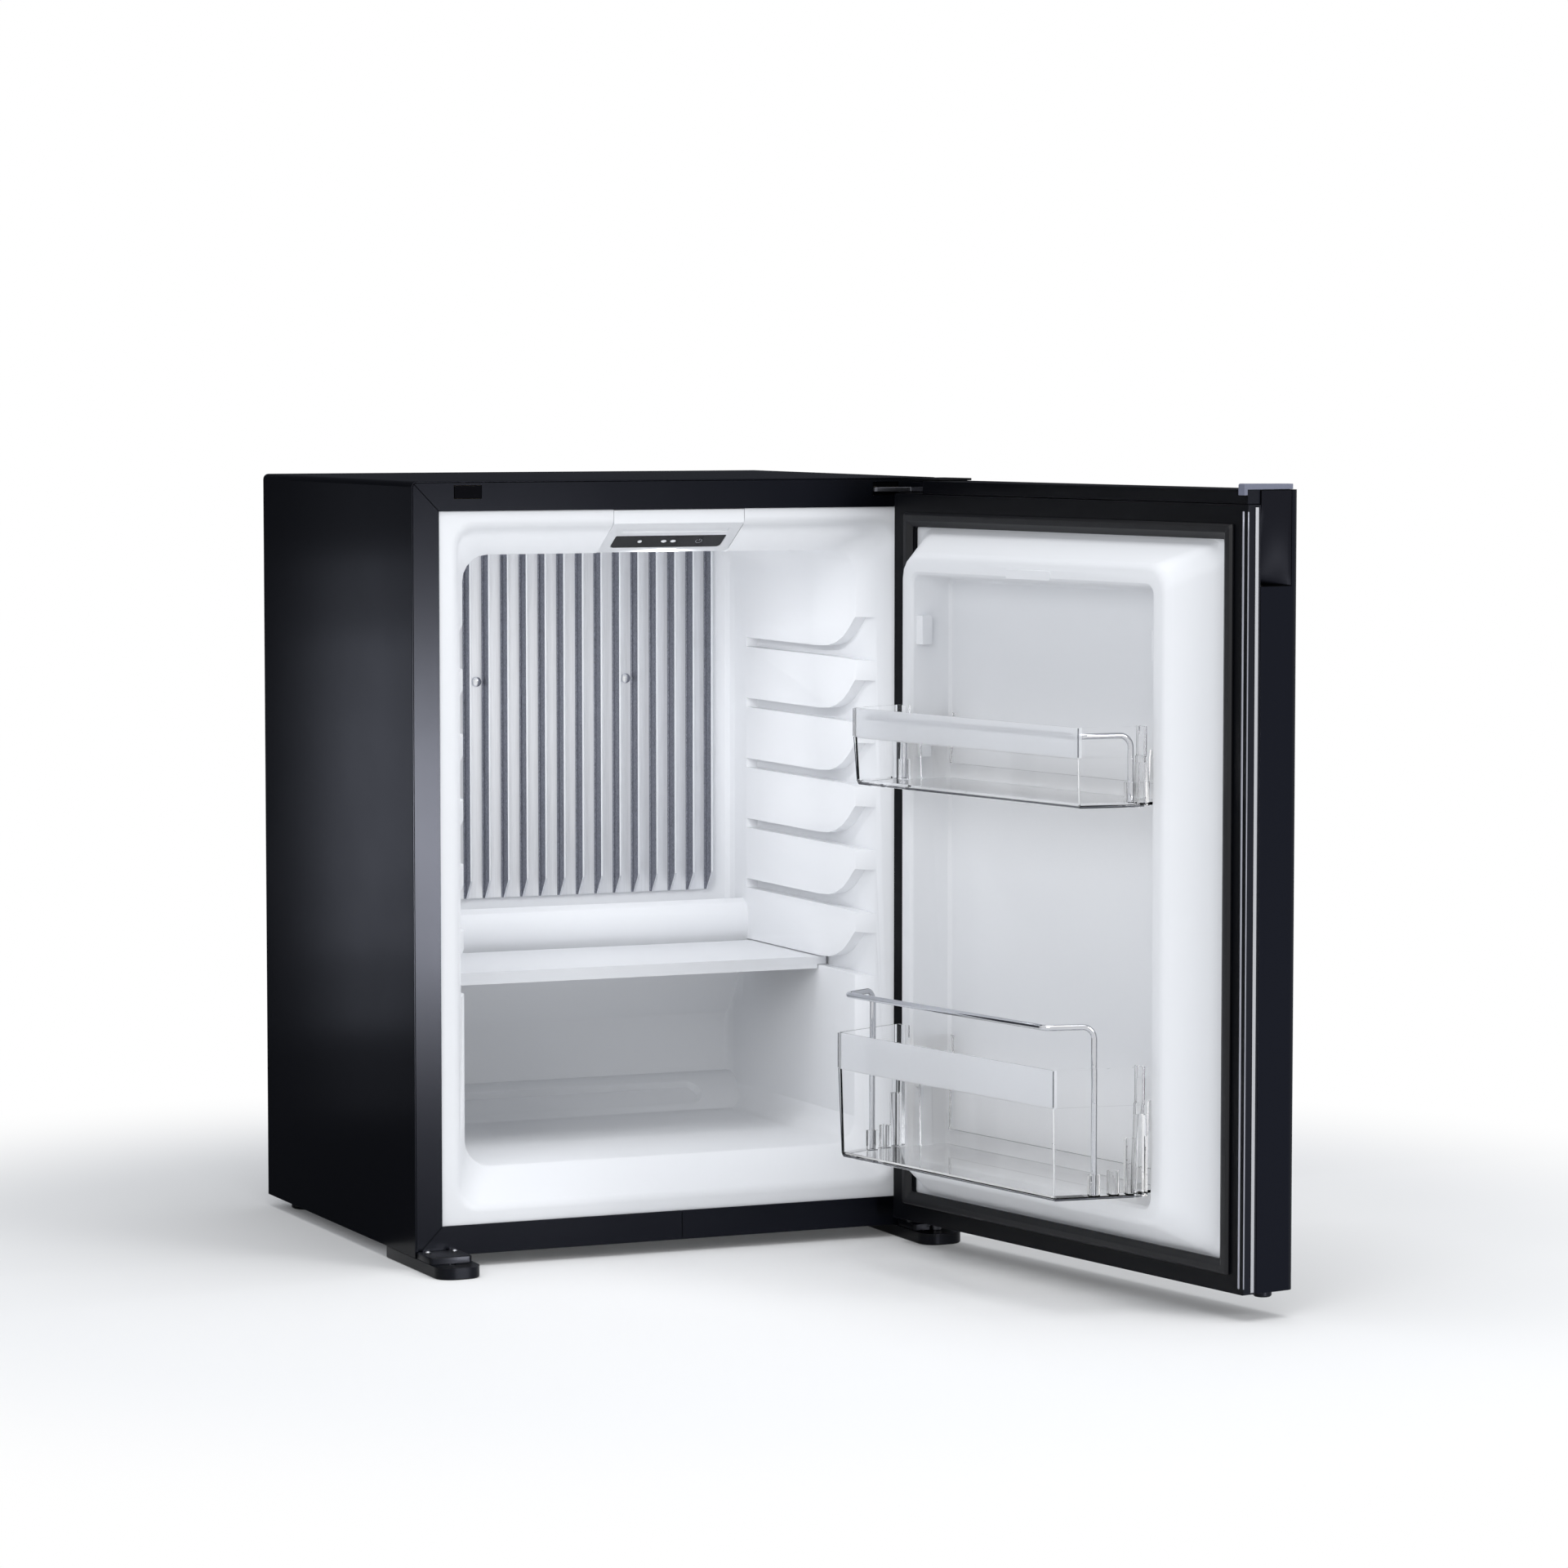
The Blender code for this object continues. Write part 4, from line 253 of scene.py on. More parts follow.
own_finish = {
    "evaporator_screw_1": bright_screw, "evaporator_screw_2": bright_screw,
    "door_bright_strip": trim, "hinge_slot_plug": shadow_line, "hinge_plate_upper": burnished,
    "hinge_pin_upper": burnished, "hinge_pin_lower": burnished, "door_handle_scoop": worn_black,
    "door_foam": door_foam_painted_shade,
}
print(len(finishes), "finishes by slot and", len(own_finish), "of single pieces")

# %% [markdown]
# Sheet metal and mouldings never end in a knife edge, and it is the light caught by that small
# rounding that makes an edge read as real. A copy of each visible piece is welded, gets a
# rounding of a few tenths of a millimetre, and is shaded smooth between its true edges. Round
# pieces such as pipes only need the smooth shading. The foam is hidden, but for a little of the
# door's behind the handle scoop, where only shadow shows, so the door's foam is near black as
# painted shade. So the foam's own nodes stay and take their finish in their material slots.


# %% Softened copies of the rigid pieces
def weld(node):
    """The node's surface with its doubled corners merged and its flat triangles joined again."""
    bm = bmesh.new()
    bm.from_mesh(frame["nodes"][node].data)
    bmesh.ops.remove_doubles(bm, verts=bm.verts, dist=2e-6)
    bmesh.ops.dissolve_limit(
        bm, angle_limit=math.radians(0.4), verts=bm.verts, edges=bm.edges, use_dissolve_boundaries=False
    )
    return bm


def soften(node, material, width=0.3, segments=2, angle=34, shape=None):
    """The node's own surface with its edges sharper than `angle` rounded by `width` millimetres."""
    bm = weld(node)
    if shape:
        shape(bm)
    mesh = bpy.data.meshes.new(node + "_soft")
    bm.to_mesh(mesh)
    bm.free()
    mesh.materials.clear()
    mesh.materials.append(material)
    mesh.shade_smooth()
    mesh.set_sharp_from_angle(angle=math.radians(angle))
    piece = bpy.data.objects.new(node + "_soft", mesh)
    bpy.context.scene.collection.objects.link(piece)
    if width:
        bevel = piece.modifiers.new("rounding", "BEVEL")
        bevel.width = width * MM
        bevel.segments = segments
        bevel.limit_method = "ANGLE"
        bevel.angle_limit = math.radians(angle)
        bevel.harden_normals = True
    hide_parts(node)
    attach(piece, body_of_node[node])
    return piece


print("soften helper ready")

# %% [markdown]
# The white liner is drawn down from one warm sheet, so where its flat rim turns into the sloping
# entry it has a soft bend, not an edge. Only the edges of that rim are picked, by their place,
# and rounded by 4 mm before the rest of the piece is softened.


# %% The soft rim of the liner
RIM_Y, RIM_ROUND = 2.1, 4.0
RIM_LOW, RIM_HIGH = [30.0, 0, 30.0], [372.0, 0, 511.0]
RIM_ANGLES = (0.3, 1.2)


def soft_rim(bm):
    """Rounds the edges whose ends both have y = RIM_Y and lie between RIM_LOW and RIM_HIGH."""
    y = corner[1] + RIM_Y * MM
    low, high = cabinet(RIM_LOW), cabinet(RIM_HIGH)

    def on_rim(v):
        inside = low[0] < v.co.x < high[0] and low[2] < v.co.z < high[2]
        return abs(v.co.y - y) < 0.05 * MM and inside

    rim = [
        e for e in bm.edges
        if on_rim(e.verts[0]) and on_rim(e.verts[1]) and len(e.link_faces) == 2
        and RIM_ANGLES[0] < e.calc_face_angle(0) < RIM_ANGLES[1]
    ]
    bmesh.ops.bevel(
        bm, geom=rim, offset=RIM_ROUND * MM, segments=5, profile=0.5, affect="EDGES",
        clamp_overlap=False,
    )
    print("rim edges rounded", len(rim))


print("rim to be rounded by", RIM_ROUND, "mm")

# %% Which copy gets what
slot_of = {entry["node"]: entry["material_slot"] for entry in frame["record"]["subparts"]}
handmade = {"bin_wire_upper", "bin_wire_lower", "evaporator_blades", "bin_upper", "bin_lower"}
hidden = {"insulation_foam", "door_foam"}
widths = {
    "outer_shell": 0.3, "front_frame": 0.25, "inner_liner": 0.6, "door_liner": 0.6, "shelf": 0.6,
    "foot_front_left": 0.7, "foot_front_right": 0.7, "door_gasket": 0.3, "door_skin": 0.3,
    "condenser_fins": 0, "absorber_coil": 0, "condenser_pipe": 0, "solution_pipe": 0,
    "evaporator_pipe": 0, "control_housing": 0.4, "door_inner_frame": 0.35,
}
shapes = {"inner_liner": soft_rim}
for node in sorted(hidden):
    frame["nodes"][node].material_slots[0].material = own_finish.get(node, finishes[slot_of[node]])
soft_pieces = {
    node: soften(
        node, own_finish.get(node, finishes[slot_of[node]]), widths.get(node, 0.3), shape=shapes.get(node)
    )
    for node in sorted(set(frame["nodes"]) - handmade - hidden)
}
print(len(soft_pieces), "pieces softened")

# %% [markdown]
# The bins are clear mouldings with flat walls, so they are shaded flat, and light bends through
# their walls. The front band that stands proud of each wall is sparked in its mould and looks
# frosted, so the faces above its lower edge take the second finish.


# %% Clear bins
BAND_SLACK, WALL_ROOM = 0.6, 3.2


def door_ruler(points):
    """The inverse of `door`: places in the scene turned back round the pin, as s, off and z."""
    c, n = math.cos(DOOR_TURN), math.sin(DOOR_TURN)
    away = points - [pin[0], pin[1], corner[2]]
    x, y = away[..., 0] * c + away[..., 1] * n, -away[..., 0] * n + away[..., 1] * c
    return np.stack([PIN_S - x / MM, y / MM - PIN_OFF, away[..., 2] / MM], -1)


def clear_bin(node, front_off, band):
    """Faces on the front wall, higher than the band's lower edge, are frosted; the rest stay clear."""
    piece = soften(node, clear, width=0.25, segments=2, angle=24)
    mesh = piece.data
    mesh.materials.append(frosted)
    mesh.shade_flat()
    middle = np.empty(len(mesh.polygons) * 3)
    mesh.polygons.foreach_get("center", middle)
    s, off, z = door_ruler(middle.reshape(-1, 3)).T
    is_band = (z > band - BAND_SLACK) & (off > front_off - WALL_ROOM)
    mesh.polygons.foreach_set("material_index", is_band.astype(int))
    return int(is_band.sum())


for node, front_off, band in (("bin_upper", 84.8, 362.8), ("bin_lower", 100.5, 132.8)):
    print(node, "frosted faces", clear_bin(node, front_off, band))

# %% [markdown]
# The pieces that follow are surfaces worked out as grids of points. A grid could be typed in face
# by face, but its faces are always the same pattern, so one helper joins the points and a second
# makes the mesh, turns its faces outwards and shades it.


# %% Grids of points as pieces
def quads(rows, cols, wrap=True):
    """Faces of a grid of points: each joins a point with its next in the row and in the next row."""
    r, c = np.meshgrid(np.arange(rows - 1), np.arange(cols if wrap else cols - 1), indexing="ij")
    n = (c + 1) % cols
    return np.stack([r * cols + c, r * cols + n, (r + 1) * cols + n, (r + 1) * cols + c], -1).reshape(-1, 4)


def piece_from(name, points, faces, materials, body, replaced=(), caps=(), index=None, sharp=40):
    """A mesh object at the origin from whole arrays of points and faces, riding on a body."""
    mesh = bpy.data.meshes.new(name)
    all_faces = [list(face) for face in faces] + [list(cap) for cap in caps]
    mesh.from_pydata(points.reshape(-1, 3).tolist(), [], all_faces)
    for material in materials:
        mesh.materials.append(material)
    if index is not None:
        mesh.polygons.foreach_set("material_index", np.concatenate([index, np.zeros(len(caps), int)]))
    bm = bmesh.new()
    bm.from_mesh(mesh)
    bmesh.ops.recalc_face_normals(bm, faces=bm.faces)
    bm.to_mesh(mesh)
    bm.free()
    mesh.shade_smooth()
    mesh.set_sharp_from_angle(angle=math.radians(sharp))
    piece = bpy.data.objects.new(name, mesh)
    bpy.context.scene.collection.objects.link(piece)
    if replaced:
        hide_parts(*replaced)
    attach(piece, body)
    return piece


print("grid helpers ready")

# %% [markdown]
# Rods, wires and beads are all a circle carried along a path: at every point of the path the
# circle stands square to the direction of travel. A bent rod has no sharp corner, so the path is
# straight runs joined by arcs. The circle's first direction is carried on from point to point,
# which keeps the tube from twisting.


# %% Tubes along a path
def rounded_path(points, bend, steps=12, closed=False):
    """Straight runs joined by arcs: each corner is replaced by a circle arc of radius `bend`."""
    points = np.asarray(points, float)
    if closed:
        ring = np.concatenate([points[-1:], points, points[:1]])
    else:
        ring = points
    out = [] if closed else [points[:1]]
    for before, here, after in zip(ring[:-2], ring[1:-1], ring[2:]):
        a = (before - here) / np.linalg.norm(before - here)
        b = (after - here) / np.linalg.norm(after - here)
        half = math.acos(np.clip(a @ b, -1, 1)) / 2
        middle = here + (a + b) / np.linalg.norm(a + b) * bend / math.sin(half)
        start, end = here + a * bend / math.tan(half) - middle, here + b * bend / math.tan(half) - middle
        sweep = math.pi - 2 * half
        t = np.linspace(0, 1, steps + 1)[:, None]
        out.append(middle + (start * np.sin((1 - t) * sweep) + end * np.sin(t * sweep)) / math.sin(sweep))
    if not closed:
        out.append(points[-1:])
    return np.concatenate(out)


def tube(name, path, radius, material, body, replaced=(), sides=20):
    """Circle of `radius` carried along `path`: centre + radius (cos a U + sin a V), with domed ends."""
    path = np.asarray(path)
    along = np.gradient(path, axis=0)
    along /= np.linalg.norm(along, axis=1)[:, None]
    u = np.empty_like(path)
    side = np.cross(along[0], [0.31, 0.17, 0.93])
    for k in range(len(path)):
        side = side - along[k] * (side @ along[k])
        side /= np.linalg.norm(side)
        u[k] = side
    v = np.cross(along, u)
    a = np.linspace(0, 2 * math.pi, sides, endpoint=False)
    ring = np.cos(a)[None, :, None] * u[:, None] + np.sin(a)[None, :, None] * v[:, None]
    body_rings = path[:, None] + radius * ring
    dome = np.linspace(0, math.pi / 2, 4)[1:-1]
    first = path[0] - along[0] * radius * 0.4 * np.sin(dome[::-1])[:, None]
    last = path[-1] + along[-1] * radius * 0.4 * np.sin(dome)[:, None]
    head = first[:, None] + radius * np.cos(dome[::-1])[:, None, None] * ring[0][None]
    tail = last[:, None] + radius * np.cos(dome)[:, None, None] * ring[-1][None]
    rings = np.concatenate([head, body_rings, tail])
    n = len(rings)
    caps = [range(sides), range((n - 1) * sides, n * sides)]
    return piece_from(name, rings, quads(n, sides), [material], body, replaced, caps)


print("tube helper ready")

# %% [markdown]
# A guard keeps bottles in its bin. It is one chromed rod bent four times: up from a sleeve,
# outwards, along the front, and back down into the other sleeve.


# %% The two guard wires
DOOR_MIDDLE, WIRE_R = 200.5, 2.0


def guard_wire(name, node, body, low, top, leg, run, bend=8):
    """Up from one sleeve, outwards, along the front and back down: corners in s, off and z."""
    c = DOOR_MIDDLE
    (leg_half, leg_off), (run_half, run_off) = leg, run
    corners = [
        (c - leg_half, leg_off, low), (c - leg_half, leg_off, top), (c - run_half, run_off, top),
        (c + run_half, run_off, top), (c + leg_half, leg_off, top), (c + leg_half, leg_off, low),
    ]
    path = rounded_path(corners, bend)
    return tube(name, door(path[:, 0], path[:, 1], path[:, 2]), WIRE_R * MM, chrome, body, (node,))


guard_wire(
    "guard_wire_upper", "bin_wire_upper", "upper_wire", low=332.3, top=376.4,
    leg=(128.6, 41.0), run=(121.6, 79.5),
)
guard_wire(
    "guard_wire_lower", "bin_wire_lower", "lower_wire", low=73.6, top=185.0,
    leg=(127.5, 69.0), run=(115.5, 99.5),
)
print("two guard wires")

# %% [markdown]
# A clear moulding shows its edges more than its faces: light runs along the wall and leaves at the
# corners, so the lower rim and the upright corners read as thin dark or bright lines. These lines
# are painted: each is a slim bead along the bin's own outline, which is narrower at the bottom
# because it leans; the dark beads are painted shade and the bright one is a painted highlight.


# %% Painted edge lines of the bins
# painted highlight: the bright line up the right corner of each bin
glint = finish(
    "bin_edge_painted_highlight", (0.97, 0.975, 0.985), 0.2, grain=900, bump=0.02, Transmission_Weight=0.3, IOR=1.3
)
WING_HALF, WING_OFF = 143.5, 39.0
LEAN, PROUD = 2.4, 0.5


def bin_edges(name, body, low, high, band, front_half, front_off):
    """Corners moved in by d: half - 0.75 d and off - d in front, WING_HALF - d at the wings."""
    c, lean, proud = DOOR_MIDDLE, LEAN, PROUD

    def at(sign, d, z):
        return (c + sign * (front_half - 0.75 * d), front_off - d, z)

    d, foot_z = lean + 0.3, low + 0.9
    rim = [
        (c - WING_HALF + d, WING_OFF, foot_z), at(-1, d, foot_z),
        at(1, d, foot_z), (c + WING_HALF - d, WING_OFF, foot_z),
    ]
    beads = {
        "rim": (rounded_path(rim, 3.0), painted_edge_shade, 0.42),
        "left": (np.array([at(-1, lean, low + 2.5), at(-1, proud, band)]), painted_edge_shade, 0.32),
        "left_band": (np.array([at(-1, 0.2, band + 0.6), at(-1, 0.2, high - 0.4)]), painted_edge_shade, 0.32),
        "right": (np.array([at(1, lean, low + 2.5), at(1, proud, band)]), glint, 0.4),
        "right_band": (np.array([at(1, 0.2, band + 0.6), at(1, 0.2, high - 0.4)]), painted_edge_shade, 0.36),
    }
    for part, (path, material, radius) in beads.items():
        tube(f"{name}_{part}", door(*np.asarray(path).T), radius * MM, material, body, sides=8)
    return len(beads)


print(
    "beads", bin_edges("upper_edge", "upper_bin", 329.5, 382.8, 362.8, 129.4, 84.8)
    + bin_edges("lower_edge", "lower_bin", 70.8, 157.8, 132.8, 124.8, 100.5),
)

# %% [markdown]
# The evaporator is one aluminium extrusion: a plate with eighteen blades. It is a profile in x
# and depth carried straight up, and near its lower end the blades are planed off at a slant. So
# the surface is a function of two parameters: along the profile, and up. The left side of each
# blade and the fillet at its foot are painted darker, as painted shade for the shadow that falls
# there, with the die's grainy skin; the plate, the tips and the right sides are bright.

# %% The profile of the blades
BLADE_COUNT, PITCH, BLADE_T, BLADE_DEEP = 18, 15.0, 1.6, 11.4
PLATE_FRONT, PLATE_BACK = 260.6, 262.6
comb_mid = 203.7
quarter = np.linspace(0, math.pi / 2, 4)
foot, tip = 1.3, 0.5
left_foot = np.stack(
    [-BLADE_T / 2 - foot + foot * np.sin(quarter), 0.5 * foot * (1 - np.cos(quarter))], -1
)
left_tip = np.stack(
    [-BLADE_T / 2 + tip - tip * np.cos(quarter), BLADE_DEEP - tip + tip * np.sin(quarter)], -1
)
half_blade = np.concatenate([left_foot, left_tip])
blade = np.concatenate([half_blade, half_blade[::-1] * [-1, 1]])
# painted shade: the fillet at the left foot and the left side of each blade take the dark finish
shade = np.zeros(len(blade), int)
shade[:4] = 1
centres = comb_mid + (np.arange(BLADE_COUNT) - (BLADE_COUNT - 1) / 2) * PITCH
print("profile points", len(blade) * BLADE_COUNT, "first and last blade at", centres[[0, -1]])


# %% The blades and their plate
def comb(low, high, cut_high, cut_deep):
    """x and depth from the profile; depth is capped by the slant (z - low) * deep / high near the foot."""
    x = (centres[:, None] + blade[None, :, 0]).ravel()
    depth = np.tile(blade[:, 1], BLADE_COUNT)
    x[: len(left_foot)] = np.maximum(x[: len(left_foot)], centres[0] - BLADE_T / 2)
    x[-len(left_foot):] = np.minimum(x[-len(left_foot):], centres[-1] + BLADE_T / 2)
    z = np.concatenate([[low], low + cut_high * np.linspace(0.04, 1, 8), np.linspace(low + 20, high, 6)])
    allowed = BLADE_DEEP - cut_deep * np.clip(1 - (z - low) / cut_high, 0, 1)
    y = PLATE_FRONT - np.minimum(depth[None], allowed[:, None])
    front = np.stack([np.broadcast_to(x, y.shape), y, np.broadcast_to(z[:, None], y.shape)], -1)
    back = front[:, [-1, 0]].copy()
    back[..., 1] = PLATE_BACK
    return np.concatenate([front, back], axis=1)


rows = comb(low=222.8, high=483.5, cut_high=14.0, cut_deep=10.0)
n_rows, n_cols = rows.shape[:2]
painted_shade_of = np.concatenate([np.tile(shade, BLADE_COUNT), [0, 0]])
evaporator = piece_from(
    "evaporator_comb", cabinet(rows), quads(n_rows, n_cols), [aluminium, blade_painted_shade],
    "cabinet", ("evaporator_blades",),
    [list(range(n_cols)), list(range((n_rows - 1) * n_cols, n_rows * n_cols))],
    index=np.tile(painted_shade_of, n_rows - 1), sharp=28,
)
print("evaporator faces", len(evaporator.data.polygons))

# %% [markdown]
# Where two sheets or mouldings meet, the eye sees a thin dark line. The front frame is folded
# from strips that meet at slanted corners, and its lower rail is made in two halves. Such a seam
# is a ribbon a fraction of a millimetre wide, laid on the face that it crosses.


# %% Seam ribbons
RIBBON_LIFT = 0.015


def ribbon(name, path, width, normal, material, body):
    """Points of `path` moved half the width to both sides, along its cross product with the normal."""
    path = np.asarray(path, float)
    along = np.gradient(path, axis=0)
    along /= np.linalg.norm(along, axis=1)[:, None]
    side = np.cross(along, np.asarray(normal, float))
    side /= np.linalg.norm(side, axis=1)[:, None]
    t = np.array([-0.5, 0.5])[None, :, None]
    flat = path[:, None] + side[:, None] * width * t
    lift = np.asarray(normal, float) * RIBBON_LIFT * MM
    rings = np.concatenate([flat + lift, flat[:, ::-1] - lift], axis=1)
    n = len(path)
    caps = [[0, 1, 2, 3], list(range((n - 1) * 4, n * 4))]
    return piece_from(name, rings, quads(n, 4), [material], body, caps=caps)


FRONT_Y, SEAM_WIDE = 0.29, 0.55
mitres = {
    "low_left": ((1.6, 1.6), (20.3, 21.0)), "low_right": ((400.4, 1.6), (381.7, 21.0)),
    "top_left": ((1.6, 538.4), (20.3, 519.0)), "top_right": ((400.4, 538.4), (381.7, 519.0)),
    "rail": ((201.5, 1.0), (201.5, 21.0)),
}
for name, ((x0, z0), (x1, z1)) in mitres.items():
    line = cabinet([(x0, FRONT_Y, z0), (x1, FRONT_Y, z1)])
    ribbon("seam_" + name, line, SEAM_WIDE * MM, (0, -1, 0), shadow_line, "cabinet")
print(len(mitres), "seams")

# %% [markdown]
# On the real fridge only shadow shows round the upper hinge plate, where it goes into the front
# frame, and at the handle scoop's end. Three wider near-black ribbons just behind the sheet paint
# that shade into these openings.


# %% Painted shade in three openings
def painted_shade_strip(name, points, width, normal, body):
    """A wider near-black ribbon in a narrow opening behind the sheet: painted shade where only shadow
    shows.
    """
    return ribbon(name, points, width * MM, normal, shadow_line, body)


free_side = np.array([-math.cos(DOOR_TURN), -math.sin(DOOR_TURN), 0])
SLOT_FROM, SLOT_TO, SLOT_Y = 349.6, 371.1, 1.95
for name, z, wide in (("slot_painted_shade_low", 528.9, 2.4), ("slot_painted_shade_high", 535.2, 3.6)):
    line = cabinet([(SLOT_FROM, SLOT_Y, z), (SLOT_TO, SLOT_Y, z)])
    painted_shade_strip(name, line, wide, (0, -1, 0), "cabinet")
painted_shade_strip("scoop_seam", door([400.03, 400.03], [-36.4, -10.9], 475.45), 0.7, free_side, "door")
print("dark linings closed")

# %% [markdown]
# The free edge of the door is a stack of thin bands: the rounded lip of the inner frame, its
# corner, and the bright strip. The lip and the corner catch the light as two narrow lines, and
# these are painted highlights: each is a slim bead of pale satin metal along the whole height.

# %% Painted highlight lines on the door's free edge
# painted highlight: pale satin metal on the black lip and corner of the door's free edge
painted_highlight = finish(
    "painted_highlight_edge", (0.36, 0.37, 0.42), 0.3, 0.7, grain=900, bump=0.06, spread=0.08,
    stretch=(1, 1, 0.05), tone=0.08,
)
heights = np.linspace(14.0, 524.0, 40)
tube("door_lip_line", door(394.9, -0.55, heights), 1.15 * MM, painted_highlight, "door", sides=12)
tube("door_corner_line", door(399.72, -0.32, heights), 0.42 * MM, painted_highlight, "door", sides=10)
print("two polished lines,", len(heights), "points each")

# %% [markdown]
# The controls are a dark glossy strip with two pale lenses, a tiny status light and the usual
# on and off sign, a ring open at its top with a short bar. The sign is printed, so it is a thin
# flat ring laid on the strip, placed with a ruler for the slanted header.

# %% The printed sign
head_a, head_b = np.array([2.1, 509.0]), np.array([33.0, 489.0])
down = (head_b - head_a) / np.linalg.norm(head_b - head_a)
outward = np.array([down[1], -down[0]])


def on_header(a, b, lift=0.0):
    """Points on the slanted header: a along x from the middle, b down the slope, lift out of it."""
    a, b = np.broadcast_arrays(a, b)
    yz = head_a + down * b[..., None] + outward * lift
    return cabinet(np.stack([201.0 + a, yz[..., 0], yz[..., 1]], -1))


print_ink = finish("printed_grey", (0.32, 0.33, 0.36), 0.5, grain=2000, bump=0.05)
SIGN_A, SIGN_B, SIGN_R = 23.4, 24.6, 2.3
INK_WIDE, INK_LIFT = 0.42, 0.03
turn = np.radians(np.linspace(-145, 145, 33))
ring_path = on_header(SIGN_A + SIGN_R * np.sin(turn), SIGN_B + SIGN_R * np.cos(turn), INK_LIFT)
header_normal = np.array([0, outward[0], outward[1]])
ribbon("sign_ring", ring_path, INK_WIDE * MM, header_normal, print_ink, "cabinet")
bar_path = on_header(np.array([SIGN_A, SIGN_A]), np.array([SIGN_B - 3.0, SIGN_B - 0.6]), INK_LIFT)
ribbon("sign_bar", bar_path, INK_WIDE * MM, header_normal, print_ink, "cabinet")
print("sign on the display at", ring_path.mean(0).round(4))

# %% [markdown]
# The studio is plain: a pale floor and an even sky, both white to the camera. The floor stays a
# real surface near the fridge, so it keeps the shadow, and it turns into the white of the sky
# further off, so that no horizon shows. Metal and clear plastic see the same white.


# %% The ways of seeing
def seen_directly(tree):
    """1 for rays from the camera, or reflected by gloss, or bent through clear plastic; 0 for the rest."""
    seen = tree.nodes.new("ShaderNodeLightPath")
    first = tree.nodes.new("ShaderNodeMath")
    second = tree.nodes.new("ShaderNodeMath")
    first.operation = second.operation = "MAXIMUM"
    tree.links.new(seen.outputs["Is Camera Ray"], first.inputs[0])
    tree.links.new(seen.outputs["Is Glossy Ray"], first.inputs[1])
    tree.links.new(first.outputs[0], second.inputs[0])
    tree.links.new(seen.outputs["Is Transmission Ray"], second.inputs[1])
    return second.outputs[0]


world = bpy.data.worlds.new("studio_sky")
bpy.context.scene.world = world
world.use_nodes = True
sky = world.node_tree
mix = sky.nodes.new("ShaderNodeMixShader")
white_back = sky.nodes.new("ShaderNodeBackground")
white_back.inputs["Color"].default_value = (1, 1, 1, 1)
white_back.inputs["Strength"].default_value = 1.0
background = sky.nodes["Background"]
background.inputs["Color"].default_value = (0.91, 0.945, 1.0, 1)
background.inputs["Strength"].default_value = 0.57
sky.links.new(seen_directly(sky), mix.inputs["Fac"])
sky.links.new(background.outputs["Background"], mix.inputs[1])
sky.links.new(white_back.outputs["Background"], mix.inputs[2])
sky.links.new(mix.outputs["Shader"], sky.nodes["World Output"].inputs["Surface"])
print("sky lights with", background.inputs["Strength"].default_value)


# %% The floor
def stage_piece(name, points, faces, material):
    """A piece of the studio: a plain mesh that isn't part of the fridge."""
    mesh = bpy.data.meshes.new(name)
    mesh.from_pydata(np.asarray(points, float).tolist(), [], faces)
    mesh.materials.append(material)
    piece = bpy.data.objects.new(name, mesh)
    bpy.context.scene.collection.objects.link(piece)
    return piece


NEAR, FAR = 0.55, 0.95
NEAR_GLOW = 0.05
paper = finish(
    "studio_paper", (0.85, 0.85, 0.85), 0.85, grain=300, bump=0.02, spread=0.03,
    Specular_IOR_Level=0.1,
)
tree = paper.node_tree
place = tree.nodes.new("ShaderNodeTexCoord")
reach = tree.nodes.new("ShaderNodeVectorMath")
reach.operation = "LENGTH"
far = tree.nodes.new("ShaderNodeMapRange")
far.interpolation_type = "SMOOTHSTEP"
far.inputs["From Min"].default_value = NEAR
far.inputs["From Max"].default_value = FAR
far.inputs["To Min"].default_value = NEAR_GLOW
far.inputs["To Max"].default_value = 1.0
weight = tree.nodes.new("ShaderNodeMath")
weight.operation = "MULTIPLY"
glow = tree.nodes.new("ShaderNodeEmission")
blend = tree.nodes.new("ShaderNodeMixShader")
tree.links.new(place.outputs["Object"], reach.inputs[0])
tree.links.new(reach.outputs["Value"], far.inputs["Value"])
tree.links.new(far.outputs["Result"], weight.inputs[0])
tree.links.new(seen_directly(tree), weight.inputs[1])
tree.links.new(weight.outputs[0], blend.inputs["Fac"])
tree.links.new(tree.nodes["Principled BSDF"].outputs["BSDF"], blend.inputs[1])
tree.links.new(glow.outputs["Emission"], blend.inputs[2])
tree.links.new(blend.outputs["Shader"], tree.nodes["Material Output"].inputs["Surface"])
floor_corners = [(-30, -30, 0), (30, -30, 0), (30, 30, 0), (-30, 30, 0)]
stage_piece("studio_floor", floor_corners, [(0, 1, 2, 3)], paper)
print("floor laid")

# %% [markdown]
# A photographer keeps a black panel black with a dark curtain, placed where the panel would
# mirror the white room. This one stands and lies behind the fridge. Only gloss sees it: it
# doesn't show in the picture, casts no shadow and takes no light away.

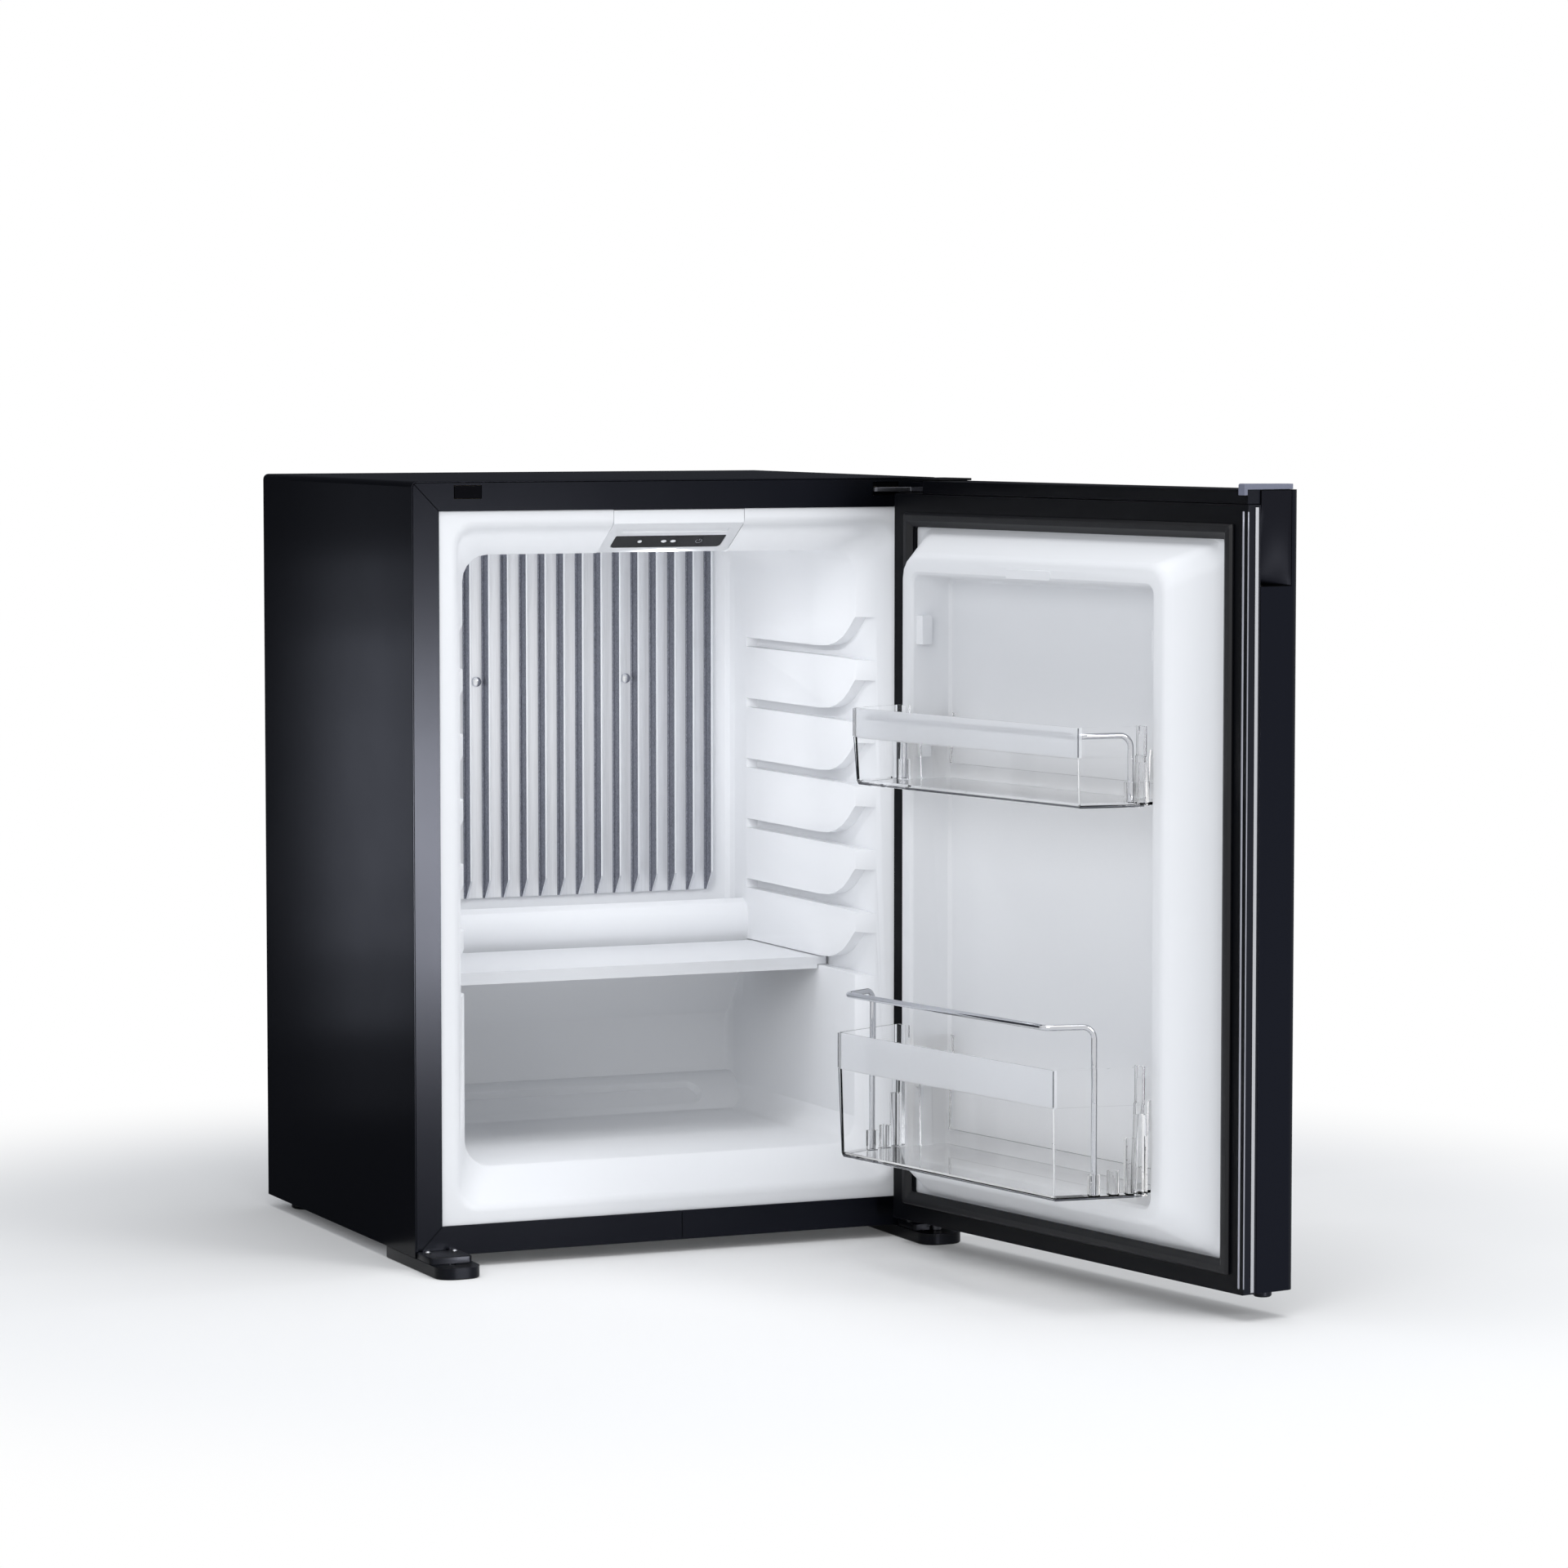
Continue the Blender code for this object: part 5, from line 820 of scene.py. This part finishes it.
# %% The dark curtain
velvet = finish("black_velvet", (0.01, 0.01, 0.012), 0.9, grain=900, bump=0.2, Specular_IOR_Level=0.0)
velvet_shader = velvet.node_tree.nodes["Principled BSDF"]
velvet_shader.inputs["Emission Color"].default_value = (0.8, 0.85, 1.0, 1)
velvet_shader.inputs["Emission Strength"].default_value = 0.045
CURTAIN_HALF = 5.0
curtain_yz = [(3.2, 0.002), (3.6, 0.1), (3.8, 0.5), (3.8, 6.0)]
curtain_points = [(-CURTAIN_HALF, -0.1, 0.002), (CURTAIN_HALF, 0.36, 0.002)]
curtain_points += [(x, y, z) for y, z in curtain_yz for x in (-CURTAIN_HALF, CURTAIN_HALF)]
curtain_faces = [(2 * k, 2 * k + 1, 2 * k + 3, 2 * k + 2) for k in range(len(curtain_yz))]
curtain = stage_piece("dark_curtain", curtain_points, curtain_faces, velvet)
curtain.visible_camera = curtain.visible_diffuse = curtain.visible_transmission = False
curtain.visible_shadow = curtain.visible_volume_scatter = False
print("curtain faces", len(curtain_faces))

# %% [markdown]
# Three large soft lamps do the work of a studio: one overhead, and one at each side of the
# camera. They could be points, but only a wide lamp gives soft shadows. They are kept at a plain
# level, at which a colour renders about as it is written.


# %% Soft lamps
def soft_lamp(name, place, aim, size, power, color=(1, 1, 1)):
    """A rectangular lamp at `place` whose back points away from `aim`; the camera doesn't see it."""
    data = bpy.data.lights.new(name, "AREA")
    data.shape, data.size, data.size_y = "RECTANGLE", size[0], size[1]
    data.energy, data.color = power, color
    lamp = bpy.data.objects.new(name, data)
    bpy.context.scene.collection.objects.link(lamp)
    lamp.visible_camera = False
    place, aim = np.asarray(place, float), np.asarray(aim, float)
    back = (place - aim) / np.linalg.norm(place - aim)
    right = np.cross([0, 0.01, 1], back)
    right /= np.linalg.norm(right)
    turned = np.eye(4)
    turned[:3, 0], turned[:3, 1], turned[:3, 2], turned[:3, 3] = right, np.cross(back, right), back, place
    lamp.matrix_world = Matrix(turned.tolist())
    return lamp


soft_lamp("overhead", (0.1, -0.6, 3.2), (0, -0.1, 0), (2.6, 2.6), 52)
soft_lamp("front_left", (-2.6, -2.6, 1.7), (0, 0, 0.25), (1.6, 1.4), 27)
soft_lamp("front_right", (1.9, -2.9, 1.5), (0, 0, 0.3), (1.2, 1.2), 34)
print("three soft lamps")

# %% [markdown]
# Black sheet only shows its form by what it mirrors. Two narrow strip lamps are placed where the
# left stile of the front frame and the left panel mirror them to the camera. Lamps of several
# heights stand in one place, so that the light fades towards both ends, and they are linked to
# the black pieces alone, so that they don't wash out the white ones.

# %% Strip lamps for the black sheet
black_pieces = bpy.data.collections.new("black_pieces")
for node, piece in soft_pieces.items():
    if slot_of[node] in ("black_paint", "black_plastic"):
        black_pieces.objects.link(piece)
FRONT_STRIP = ((0.343, -1.543, 0.145), (-0.224, 0.014, 0.145))
LEFT_STRIP = ((-0.48, 0.77, 0.272), (-0.234, 0.07, 0.287))
COOL, COOLER = (0.82, 0.85, 1.0), (0.78, 0.83, 1.0)
strips = [
    soft_lamp("front_strip", *FRONT_STRIP, (0.22, 0.3), 34, COOL),
    soft_lamp("front_strip_long", *FRONT_STRIP, (0.22, 0.5), 11, COOL),
]
for height, power in ((0.14, 0.07), (0.27, 0.12), (0.4, 0.1), (0.56, 0.03)):
    strips.append(soft_lamp(f"left_strip_{height}", *LEFT_STRIP, (0.08, height), power, COOLER))
for strip in strips:
    strip.light_linking.receiver_collection = black_pieces

# %% [markdown]
# The fridge has a lamp of its own under the control housing, a small disk that shines down. The
# bright inside of the tub comes from light thrown to and fro between white walls, and so that
# few bounces are enough, two weak lamps without a reflection of their own help: one lights the
# inside, and one in the opening lights the tub alone.

# %% The fridge's own lamp
inside = bpy.data.lights.new("cabinet_lamp", "AREA")
inside.shape, inside.size, inside.energy = "DISK", 0.02, 0.2
inside_lamp = bpy.data.objects.new("cabinet_lamp", inside)
bpy.context.scene.collection.objects.link(inside_lamp)
inside_lamp.visible_glossy = False
inside_lamp.location = cabinet([201, 27, 487])
inside_lamp.rotation_euler = (math.radians(32), 0, 0)
inside_fill = soft_lamp(
    "cabinet_fill", cabinet([190, 104, 370]), cabinet([190, 240, 350]), (0.15, 0.17), 0.13
)
rim_fill = soft_lamp("rim_fill", cabinet([190, 6, 290]), cabinet([190, 240, 290]), (0.3, 0.42), 0.12)
inside_fill.visible_glossy = rim_fill.visible_glossy = False
liner_alone = bpy.data.collections.new("liner_alone")
liner_alone.objects.link(soft_pieces["inner_liner"])
rim_fill.light_linking.receiver_collection = liner_alone
print("inner lamps set")

# %% [markdown]
# Last comes the way in which light is turned into the picture's colours, where Standard changes
# nothing.

# %% Colour management
bpy.context.scene.view_settings.view_transform = "Standard"
